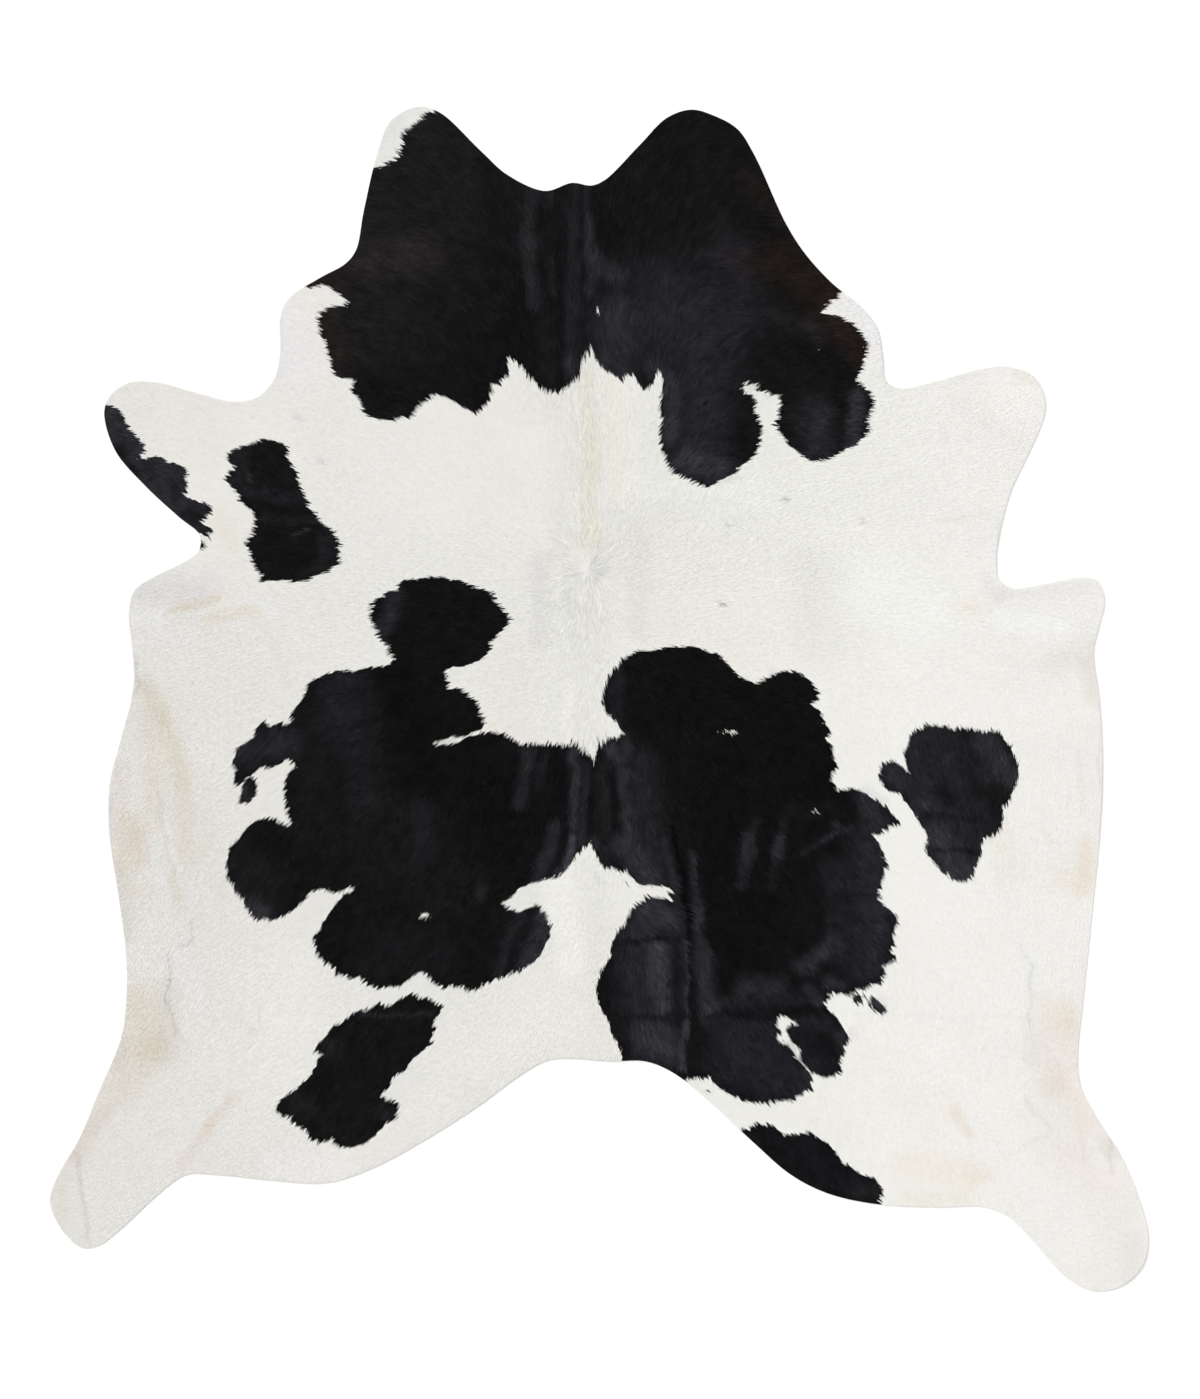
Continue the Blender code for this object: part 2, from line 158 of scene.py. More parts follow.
# The black patches: (patch, the points of its border (across cm, along cm)). Where a patch reaches the
# edge of the hide, its border runs on outside it.
PATCHES = (
    ("neck saddle", (
        # tip of the left cheek
        (-30.2, 109.6), (-30.3, 108.5), (-31.6, 108.5), (-33.9, 106.1), (-36.1, 104.7), (-36.4, 103.7),
        (-36.1, 101.7), (-36.8, 101.3), (-37.2, 100), (-40.1, 98.4), (-42.4, 98),
        # left, outside the rug
        (-49.8, 86.7), (-56.1, 76.7),
        # left end
        (-54.6, 76.3), (-53.1, 76), (-51.2, 76.7), (-49.6, 76.2), (-47, 74.1), (-46.6, 73.6), (-46.8, 72.6),
        (-47.4, 72.5), (-49.2, 72.6), (-50, 71.9), (-51.2, 71.5), (-52, 70.8), (-51.6, 69.5), (-51.6, 67.7),
        (-50.7, 66.4), (-49.8, 63.6), (-49.2, 60.6), (-48.5, 59.7), (-47, 59.3), (-44.8, 59.3),
        (-45.5, 58.3), (-45.7, 56.8), (-44.2, 55.9), (-43.5, 53.1), (-42.4, 52.2), (-39, 51.5),
        (-37.4, 51.7), (-36.3, 52.2), (-34.6, 52), (-33.1, 54.6), (-31.6, 55.2), (-31.1, 56.1),
        # left lobes
        (-30.5, 56.5), (-28.1, 55.7), (-26.6, 55), (-25.5, 54.1), (-22.6, 52.8), (-20.7, 54.4), (-19.8, 57),
        (-20.2, 57.9), (-17.8, 59), (-16.8, 60.4), (-17, 63), (-16.4, 63.1), (-13.8, 60.9), (-13.1, 59.8),
        (-11.9, 58.8), (-11.4, 57.8), (-10.4, 57.5), (-9.2, 56.6), (-8.1, 56.7), (-5.9, 57.5), (-4.1, 59.1),
        (-3.5, 60.4), (-3.7, 61.5), (-2.6, 63.8), (-1.7, 63.2), (-1.3, 65.1),
        # middle lobes
        (-0.9, 64.1), (-0.6, 62.8), (0.2, 61.7), (3.9, 59), (6.3, 60.4), (7.8, 57.4), (8.5, 57.4),
        (9.4, 57.8), (10.2, 58.9), (10.7, 60.4), (11.3, 60.8), (11.8, 58.9),
        # right of the back line
        (11.7, 57), (11.1, 53.7), (11.7, 52.4), (11.3, 48.7), (11.4, 47), (12.4, 44.1), (12.9, 42.8),
        (14.2, 41.7), (19.2, 39.3), (20.5, 39.3), (24.4, 41.5), (28.4, 44.7), (29.3, 46.4), (29.8, 47.8),
        (30, 49.6), (29.8, 50.9), (29.2, 52.4), (28.5, 53), (29, 53.7), (28.9, 54.8), (28.3, 55.9),
        (26.3, 57), (26.8, 58.9), (27.6, 58.3), (28.9, 58.1), (30.2, 57), (31.3, 56.5), (32.6, 56.1),
        (34, 56.1),
        # right lobe
        (33.5, 55.6), (33.5, 54.3), (32.6, 50.6), (33.3, 49.3), (35.1, 46.9), (38.7, 44.3), (40.3, 44.1),
        (41.8, 44.3), (44.6, 45.6), (45.9, 46.5), (47.4, 46.9), (49.4, 49.1), (50, 50.2), (49.6, 51.5),
        (50, 53), (50.7, 54.3), (50.5, 55.6), (49.8, 56.9), (47.7, 58.7), (47.4, 59.3),
        # right end
        (47.9, 59.9), (48.7, 61.7), (49.6, 65.6), (48.3, 67.3), (47.9, 68.4), (47.2, 68.9), (46.8, 69.7),
        (45.7, 69.9), (45.1, 70.4), (44.2, 70.8), (41.3, 71.2), (41.1, 72.3), (41.8, 72.6), (42.9, 73.8),
        (44, 74.1), (44.2, 75.1), (44.8, 75.7),
        # right, outside the rug
        (46.4, 77.1), (35.3, 101.5), (24.2, 112.6), (7.6, 112.6), (0.2, 101.5), (-7.2, 99.7),
        (-18.3, 105.2), (-27.6, 112.6),
    )),
    ("left foreleg", (
        # edge
        (-92.7, 54.3), (-90.3, 54.3), (-88.4, 53.4), (-87.1, 50.3), (-84, 46.9), (-84.2, 45.6),
        (-85.1, 44.9), (-84.9, 44.2), (-81.8, 44.9), (-79.7, 43.8), (-78.3, 43.6), (-76.2, 42.3),
        (-76.4, 40.1), (-76, 39.7), (-76.8, 37.9), (-76, 36.9), (-74.9, 36.8), (-74.2, 36.2), (-72.9, 36.2),
        (-71.9, 35.6), (-71.5, 34.6), (-73.3, 32.9), (-74.4, 32.8), (-71.7, 31.5), (-71.5, 30.7),
        (-72.7, 30.9), (-71.9, 29.8), (-72.9, 30.1), (-73.8, 31.2), (-74.2, 30.7),
        # outside the rug
        (-76.6, 31.2), (-88.6, 41.4), (-93.2, 51.6),
    )),
    ("left elbow speck", (
        (-73.8, 28.8), (-73.1, 29.2), (-72.9, 28.1), (-73.4, 27.7), (-74, 27.9),
    )),
    ("left shoulder", (
        (-68.7, 45.5), (-66.3, 46.7), (-63, 47.4), (-61.7, 48.1), (-58, 47), (-57.5, 45.9), (-57.8, 44.6),
        (-57.1, 44.1), (-56.7, 42.6), (-55.6, 41.7), (-55.8, 40.9), (-53.6, 35.7), (-53.9, 35.4),
        (-52.5, 34.3), (-51.5, 33), (-49, 30.7), (-48.6, 29.6), (-47.8, 28.9), (-48.2, 27.8), (-47.8, 25.2),
        (-49.1, 24.5), (-50.1, 23.5), (-51.9, 23.2), (-53.4, 22.2), (-56.5, 21.7), (-58, 22.1),
        (-62.3, 21.9), (-62.5, 23.2), (-63.2, 24.1), (-65.2, 28.7), (-64.3, 30), (-63.4, 33), (-63.8, 34.8),
        (-66.7, 36.7), (-66.2, 37.8), (-67.1, 38.1), (-67.5, 39.1), (-68.6, 39.6), (-69.1, 40.7),
        (-68.7, 41.8), (-67.1, 43.1), (-68, 43.5), (-68.6, 44.4),
    )),
    ("saddle", (
        # left round patch
        (-42.4, 16), (-42, 17.7), (-38.3, 20.1), (-37, 20.1), (-37.2, 21), (-35.9, 22.1), (-34, 22),
        (-30.9, 22.7), (-29.8, 22.3), (-29.2, 22.7), (-27.9, 22.1), (-25.7, 22), (-24.6, 21.2), (-22.9, 21),
        (-23.5, 20.5), (-21.1, 20.3), (-19.8, 19.6), (-19.1, 18.6), (-19.4, 17.9), (-18.3, 17.5),
        (-17.2, 15.7), (-16.5, 15.1), (-16.8, 14.2), (-17.6, 13.1), (-18.5, 12.3), (-18.9, 11.4),
        (-20, 10.6), (-19.8, 9.7), (-21.5, 7.5), (-25.5, 5.9), (-26.6, 6), (-28.5, 5.7),
        # lobe above the white slit
        (-28.4, 5.4), (-27.8, 2.8), (-28.3, 1.8), (-25.6, 1.9), (-22.6, -0.4), (-21.9, -1.9), (-22.2, -2.5),
        (-21.3, -4), (-22, -5.5),
        # white slit
        (-23.7, -6.3), (-25.4, -6.8), (-27.6, -6.9), (-30.7, -8.1), (-30.2, -8.5), (-27.6, -8.5),
        (-26.3, -8.1), (-24.5, -7), (-21.3, -6.2),
        # across the back line
        (-19.4, -6.1), (-17.7, -6.4), (-14.4, -8.4), (-10.4, -8.2), (-7.1, -8.6), (-5.6, -8.2),
        (-4.1, -8.3), (-1.3, -10.7), (-0.9, -12.2), (-0.1, -7.5), (0.2, -8.8), (1.7, -6.8), (2.6, -7.3),
        (4.8, -6.3),
        # top of the right patch
        (3.9, -5.2), (3.1, -3.9), (2.4, -3.2), (1.3, -2.6), (0.5, -0.2), (0.7, 1.2), (1.9, 4.3), (3.8, 6.8),
        (5.1, 7.9), (7.6, 9), (9.4, 8.8), (12.8, 9.7), (15, 9.6), (16.8, 9.9), (18.7, 9.4), (20.2, 8.5),
        (21.6, 8.6), (25.2, 4.8), (26.6, 3.8), (28.9, 2.8), (32.6, 4.8), (35.9, 5.3), (36.8, 5),
        (38.3, 3.9), (39.6, 2.7), (40.5, 1.2),
        # right side, upper
        (40.3, 0.3), (39.4, -0.7), (39.2, -1.4), (40.7, -2.3), (41.4, -4.1), (42.5, -5.6), (42.6, -6.5),
        (41.9, -7.7), (43.1, -8.6), (43.1, -11.2), (44.1, -12.6), (43.8, -13.2), (42.9, -13.5),
        (42.6, -14.9), (43.5, -15.8), (43.8, -16.9),
        # right side, middle
        (45.1, -16.7), (47.2, -16.4), (48.3, -16.8), (50.1, -18.2), (52.5, -19.5), (55.3, -22.4),
        (55.3, -23), (53.8, -23.2), (52.5, -24.7), (51.2, -25), (50.9, -25.4), (53.5, -31),
        # right side, lower
        (52.7, -31.3), (52.2, -33.2), (52, -35.2), (51.4, -35.5), (52, -36.3), (51.4, -36.9), (54.6, -39.8),
        (55.1, -41.1), (54.2, -44.1), (54.6, -45.2), (54.2, -46.3), (53.8, -46.5), (54.8, -47.8),
        (54.4, -48.3), (53.1, -49.1), (52.2, -49.1), (52.7, -50.6), (51.8, -52.8), (50.1, -52.7),
        # notch above the right lobe
        (49.8, -52.8), (49.2, -53.6), (47.4, -53.5), (46.4, -54.4), (43.1, -54.5), (42.6, -54.4),
        (42, -55.7), (41.1, -55.9), (43.5, -58.5),
        # right lobe
        (44.2, -59.3), (46.1, -62.4), (46.1, -63.1), (45.7, -63.9), (45.1, -64.2), (45.3, -64.8),
        (45.1, -65.7), (44.2, -67), (44.8, -68.7), (43.8, -69.5), (41.1, -69.8), (39.6, -69),
        # hooked slit
        (39.2, -68.9), (37.4, -66.8), (36.9, -65.4), (37.2, -65), (37.1, -64.6), (35.9, -63.5),
        (34.6, -61.3), (35.3, -60.3), (37, -60.2), (36.4, -59.6), (35.5, -59.4), (35, -58.7), (34.2, -58.4),
        (32.8, -59.3), (32.7, -60), (32.9, -60.7), (33.8, -61.2), (33.7, -61.8), (32.5, -62.4),
        (32.7, -62.9), (34.6, -63.9), (35.9, -65.2), (36.4, -65.9), (36.6, -66.7), (39.1, -69.4),
        # bottom lobe
        (39.4, -70.4), (39, -70.9), (39.4, -72), (37.6, -72.8), (35.9, -74.1), (34.2, -74), (31.2, -74.7),
        (27.9, -74.5), (25.1, -73.4), (21.8, -71.4), (20.8, -70.4), (20.7, -69.5), (18.8, -70.1),
        (18.1, -69.7), (17.2, -70.2), (15.9, -70.4), (15, -70.2),
        # right buttock, outside the rug
        (14.1, -72), (8.5, -69.6), (3.5, -68.7),
        # right of the back line
        (4.3, -66.1), (3.5, -63.5), (2.2, -61.3), (1.8, -59.3), (0.3, -56.9), (-0.4, -53.9), (-0.4, -52.8),
        (0.4, -50.4), (1.9, -47.8), (3, -43.7), (3.9, -42.1), (5, -42.4), (5.2, -40.6), (6.5, -38),
        (9.1, -36.5), (12.4, -36.9), (13.9, -37.6),
        # rump notch
        (12.8, -35.9), (13.7, -35.4), (12.8, -34.7), (11.3, -34.3), (8.5, -34.5), (6.8, -33.7), (5, -31.5),
        (3.9, -32.1), (3.1, -31.3), (0.9, -31), (-0.4, -28.9), (-1.5, -26.4), (-5.2, -29.6), (-6.1, -31.4),
        (-6.9, -32.4), (-14.5, -34.5), (-15.2, -35.2), (-15.6, -36.2), (-18.9, -38),
        # left of the back line
        (-17.9, -37.6), (-16.1, -38.9), (-14.6, -39.3), (-11.3, -37.8), (-8.9, -41.9), (-9.1, -43.2),
        (-10.9, -47.4), (-14.6, -50.2), (-18.3, -51.3), (-19.2, -51.9),
        # left rump
        (-20.7, -52.4), (-22.4, -53.4), (-23.9, -53.7), (-27.2, -52.8), (-28.5, -53.2), (-30.2, -52.8),
        (-32.4, -50.2), (-33.9, -50.6), (-36.4, -52.6), (-37.6, -53.2), (-39, -53), (-40.9, -53.3),
        (-43.7, -52.2), (-43.8, -51.3), (-45.7, -51.5), (-48.7, -50.4), (-49.2, -49.5), (-50.1, -48.9),
        (-51.1, -47.8), (-52, -47.4), (-52.7, -44.6), (-52.5, -43.5), (-51.6, -42.8), (-51.2, -41.7),
        (-49.8, -39.5), (-47, -35.9), (-45, -35.2),
        # left flank, lower
        (-46.1, -34.7), (-48.8, -35.8), (-51.2, -35), (-52.5, -35.4), (-53.8, -36.1), (-54.6, -37.2),
        (-57.4, -39.6), (-59, -40.4), (-60.9, -40.8), (-62, -40.4), (-63.1, -40.8), (-64.2, -40.2),
        (-66.2, -36.5), (-68.5, -33.5), (-69, -31.7), (-68.6, -28.4), (-68.3, -27.3), (-67.2, -26.5),
        (-64.2, -22.8), (-62.7, -22.2), (-61.2, -21.8), (-59, -22.6), (-57.2, -23.7), (-56.6, -23),
        # white bay of the left flank
        (-57.4, -21.8), (-58.1, -18.7), (-57.9, -15), (-57.4, -13.7), (-56.1, -12.6), (-56.4, -11.7),
        (-57.5, -10.8), (-59.8, -12.3), (-61.2, -12.8), (-62.5, -12.3), (-66.8, -16), (-67.3, -15.6),
        # left flank, upper
        (-67.2, -14.3), (-67.2, -12.8), (-67.7, -12.1), (-67, -9.1), (-63.8, -7.3), (-63.6, -5.8),
        (-62.7, -4.7), (-61.6, -3.9), (-60.9, -5.2), (-59.9, -4.7), (-58.5, -4.3), (-57.5, -5.2),
        (-57, -4.3), (-56.9, -2.8), (-54.8, -0.2), (-53.8, 2.5), (-53.5, 3), (-50.3, 4.8), (-45.7, 5.2),
        (-45.1, 4.9), (-43.1, 5.8), (-39.6, 6), (-37.2, 7.4),
        # left of the round patch
        (-38.7, 8.1), (-39.2, 9), (-38.5, 9.7), (-39.6, 10.3), (-40.5, 11.4), (-42, 14.6), (-42.5, 14.9),
    )),
    ("left flank dot", (
        (-66.5, -18.9), (-65.9, -15.7), (-65.1, -14.7), (-64.2, -14.3), (-63.5, -14.9), (-63.3, -16.4),
        (-63.7, -17.9), (-64.6, -18.9), (-65.5, -19.1),
    )),
    ("right flank", (
        (51.6, -14.3), (51.8, -12.8), (52.4, -11.9), (54.4, -11.3), (57.7, -13.9), (56.4, -11),
        (56.4, -9.5), (57.9, -6), (60.3, -5.2), (60.9, -4.5), (62.2, -4.9), (64, -4.9), (65.3, -5.8),
        (67.2, -5.1), (68.6, -5.6), (71, -6), (72.3, -5.8), (73.8, -6), (74.9, -7.3), (76.8, -10.4),
        (77.3, -12.3), (77.5, -13.6), (77.1, -15.6), (76.4, -16.9), (76, -18.4), (75.3, -19.5), (74.4, -20),
        (74.7, -21.5), (74.4, -23.2), (73.6, -24.5), (72.3, -25.4), (71, -25.8), (70.7, -26.7),
        (70.7, -28.5), (69.7, -30), (69, -32.8), (67.9, -33.5), (66.4, -33.7), (65.3, -33.2), (63.5, -31.9),
        (60.9, -29.1), (60.1, -28), (60.1, -27.3), (61, -26.1), (60.3, -24.3), (55.7, -17.4), (53.3, -16.7),
        (52.4, -15.4),
    )),
    ("right thigh speck, upper", (
        (46.7, -55.1), (47.9, -54.5), (48.7, -55), (48.9, -55.6), (48.7, -56.2), (47.9, -56.4),
        (47.2, -56.1),
    )),
    ("right thigh speck, lower", (
        (50, -55), (50.7, -55.1), (51.4, -55.6), (52.8, -56.8), (53, -57.4), (52.7, -58.1), (51.8, -58.1),
        (51.1, -57.8), (50, -56.1),
    )),
    ("left rump", (
        (-34.8, -54.4), (-36.8, -55.4), (-39, -56.9), (-40.5, -55.9), (-42.4, -57.4), (-44.8, -57.8),
        (-49.2, -60.6), (-50.7, -62.6), (-51.6, -63.1), (-52.2, -64.3), (-52.4, -65), (-51.4, -65.7),
        (-53.5, -69.8), (-57.5, -73.1), (-58.8, -73.9), (-59.6, -76.1), (-57.7, -77.2), (-56.6, -77),
        (-56.8, -78.1), (-54.2, -79.6), (-53.8, -80.5), (-52.9, -81.3), (-51.6, -81.8), (-49.6, -81.3),
        (-48.8, -82.2), (-47.5, -82.8), (-43.7, -82.2), (-41.3, -80.4), (-39.5, -78.4), (-37.4, -77.4),
        (-37.6, -76.5), (-36.8, -75.2), (-40.7, -73.1), (-39, -71.8), (-38.1, -69.8), (-35.5, -68.3),
        (-35.1, -67.2), (-34.2, -66.1), (-30.5, -63.3), (-31.3, -63.1), (-30.2, -60.9), (-30.9, -60),
        (-30.2, -59.1), (-28.9, -56.5), (-30.2, -56.5), (-30.3, -55.9), (-33.1, -55.2), (-34.2, -54.4),
    )),
    ("right thigh", (
        # whole edge
        (26.6, -79.6), (27.2, -79.6), (28.9, -78.5), (31.6, -78.7), (33.3, -79.6), (33.7, -80.5),
        (36.8, -80.5), (39, -80), (43.1, -82.9), (45.1, -85.9), (46.2, -86.3), (48.5, -87.9), (50.7, -88.5),
        (51.4, -89.2), (52.2, -90.2), (52.4, -91.3), (51.8, -93.7),
        # outside the rug
        (48.3, -95.5), (35.3, -90.9), (25.2, -80.7),
    )),
)

# Small white flecks in the black: (across cm, along cm, half length cm, half width cm, turn degrees).
FLECKS = (
    (-0.4, 71.5, 0.43, 0.28, 70),
    (40.5, 64.6, 0.3, 0.26, 0),
    (-32.2, -39.9, 1.28, 0.43, 5),
    (23.6, -6.1, 1.98, 0.33, 0),
    (39.8, -20.7, 0.88, 0.2, -10),
)

# Small black spots in the white, with the same columns.
SPOTS = (
    (49.6, -55.9, 1.9, 0.05, -60),
    (19.9, -72.3, 0.52, 0.2, -30),
    (5.3, -34.5, 0.25, 0.08, -60),
)

# The lie of the coat: (across cm, along cm, degrees that the tips point to, turned from +X to +Y).
FLOW = (
    (-2.4, 95, 90), (-2.4, 75, 90), (-2.4, 55, 90), (-2.4, 40, 90), (-2.0, 31, 90),
    (12, 92, 65), (22, 100, 25), (34, 82, -3), (3.5, 62, 115), (10, 72, 70), (15, 49, 50),
    (26, 74, 5), (30, 62, 35), (44, 70, 0), (38, 48, -12), (50, 50, -5), (28, 42, 15), (14, 38, 42),
    (-14, 92, 112), (-26, 100, 150), (-30, 80, 158), (-40, 90, 172), (-8, 60, 80), (-22, 60, 128),
    (-32, 70, 140), (-45, 66, 162),
    (-14, 44, 130), (-30, 46, 150), (-46, 50, 165), (-62, 40, 150), (-56, 27, 182), (-74, 33, 148),
    (-85, 48, 175), (-78, 53, 165), (62, 50, 10), (76, 55, 20), (78, 40, -20), (68, 30, -20),
    (2.5, 27, 48), (5, 24.5, 0), (3.2, 20.5, -40), (-1.9, 17.5, -90), (-6, 20, -128), (-7.5, 25, 178),
    (-6, 30, 135), (12, 24, 0), (-14, 23, 182), (-13, 14, 187), (9, 12, -12), (-2, 5, -90),
    (2.2, 1, -58), (-6, 0, -122), (15, 10, -15), (34, 5, -22), (55, 15, -20), (80, 12, -35),
    (-30, 18, 186), (-50, 10, 200), (-78, 14, 215), (-22, 4, 200), (-45, -8, 218), (-65, -12, 226),
    (-84, -20, 245), (-2, -20, -90), (6, -14, -75), (-9, -14, -105), (18, -22, -55), (38, -16, -45),
    (56, -14, -60), (72, -14, -88), (88, -20, -85), (14, -37, -35), (30, -42, -48), (52, -36, -45),
    (50, -58, -50), (66, -50, -60), (86, -55, -70), (-14, -38, -140), (-30, -45, -130), (-50, -36, -125),
    (-70, -40, -120), (-86, -50, -105), (-2, -45, -90), (-2, -64, -90), (10, -60, -80), (-16, -60, -110),
    (-30, -72, -128), (-50, -72, -128), (-72, -75, -128), (-92, -90, -130), (30, -75, -50),
    (48, -84, -42), (70, -85, -45), (92, -98, -48),
)
FLOW_SOFTNESS = 2.5  # cm round a place within which its direction isn't sharpened any more

# Where the locks are longer or shorter, as soft strokes: (place, across cm, along cm, to across cm,
# to along cm, reach cm, change as a share).
LENGTHS = (
    ("neck", -25, 88, 25, 88, 42, 0.45),
    ("left foreleg", -84, 44, -76, 50, 24, -0.25),
    ("right foreleg", 70, 44, 84, 50, 24, -0.25),
    ("left belly", -90, 20, -90, -50, 20, -0.2),
    ("right belly", 92, 20, 92, -50, 20, -0.2),
    ("left hind shank", -96, -94, -92, -88, 28, -0.3),
    ("right hind shank", 96, -102, 92, -96, 28, -0.3),
)
# Where the white hair stands in coarse, ruffled strands, with the same columns and how strongly.
RUFFLED = (
    ("back line of the neck", -2.4, 62, -2.4, 33, 5.5, 0.8),
    ("whorl", -3, 29, -2.6, 17, 10, 1),
    ("below the whorl", -2.2, 14, -1.8, -8, 6, 0.6),
)

# How light the white coat is from the left edge to the right one, darker towards the left: (across cm, red,
# green, blue).
WHITE_ACROSS = (
    (-95, 228, 226, 221),
    (-70, 230, 228, 223),
    (-40, 230, 229, 225),
    (0, 231, 230, 225),
    (30, 234, 233, 228),
    (60, 237, 236, 232),
    (100, 237, 235, 231),
)
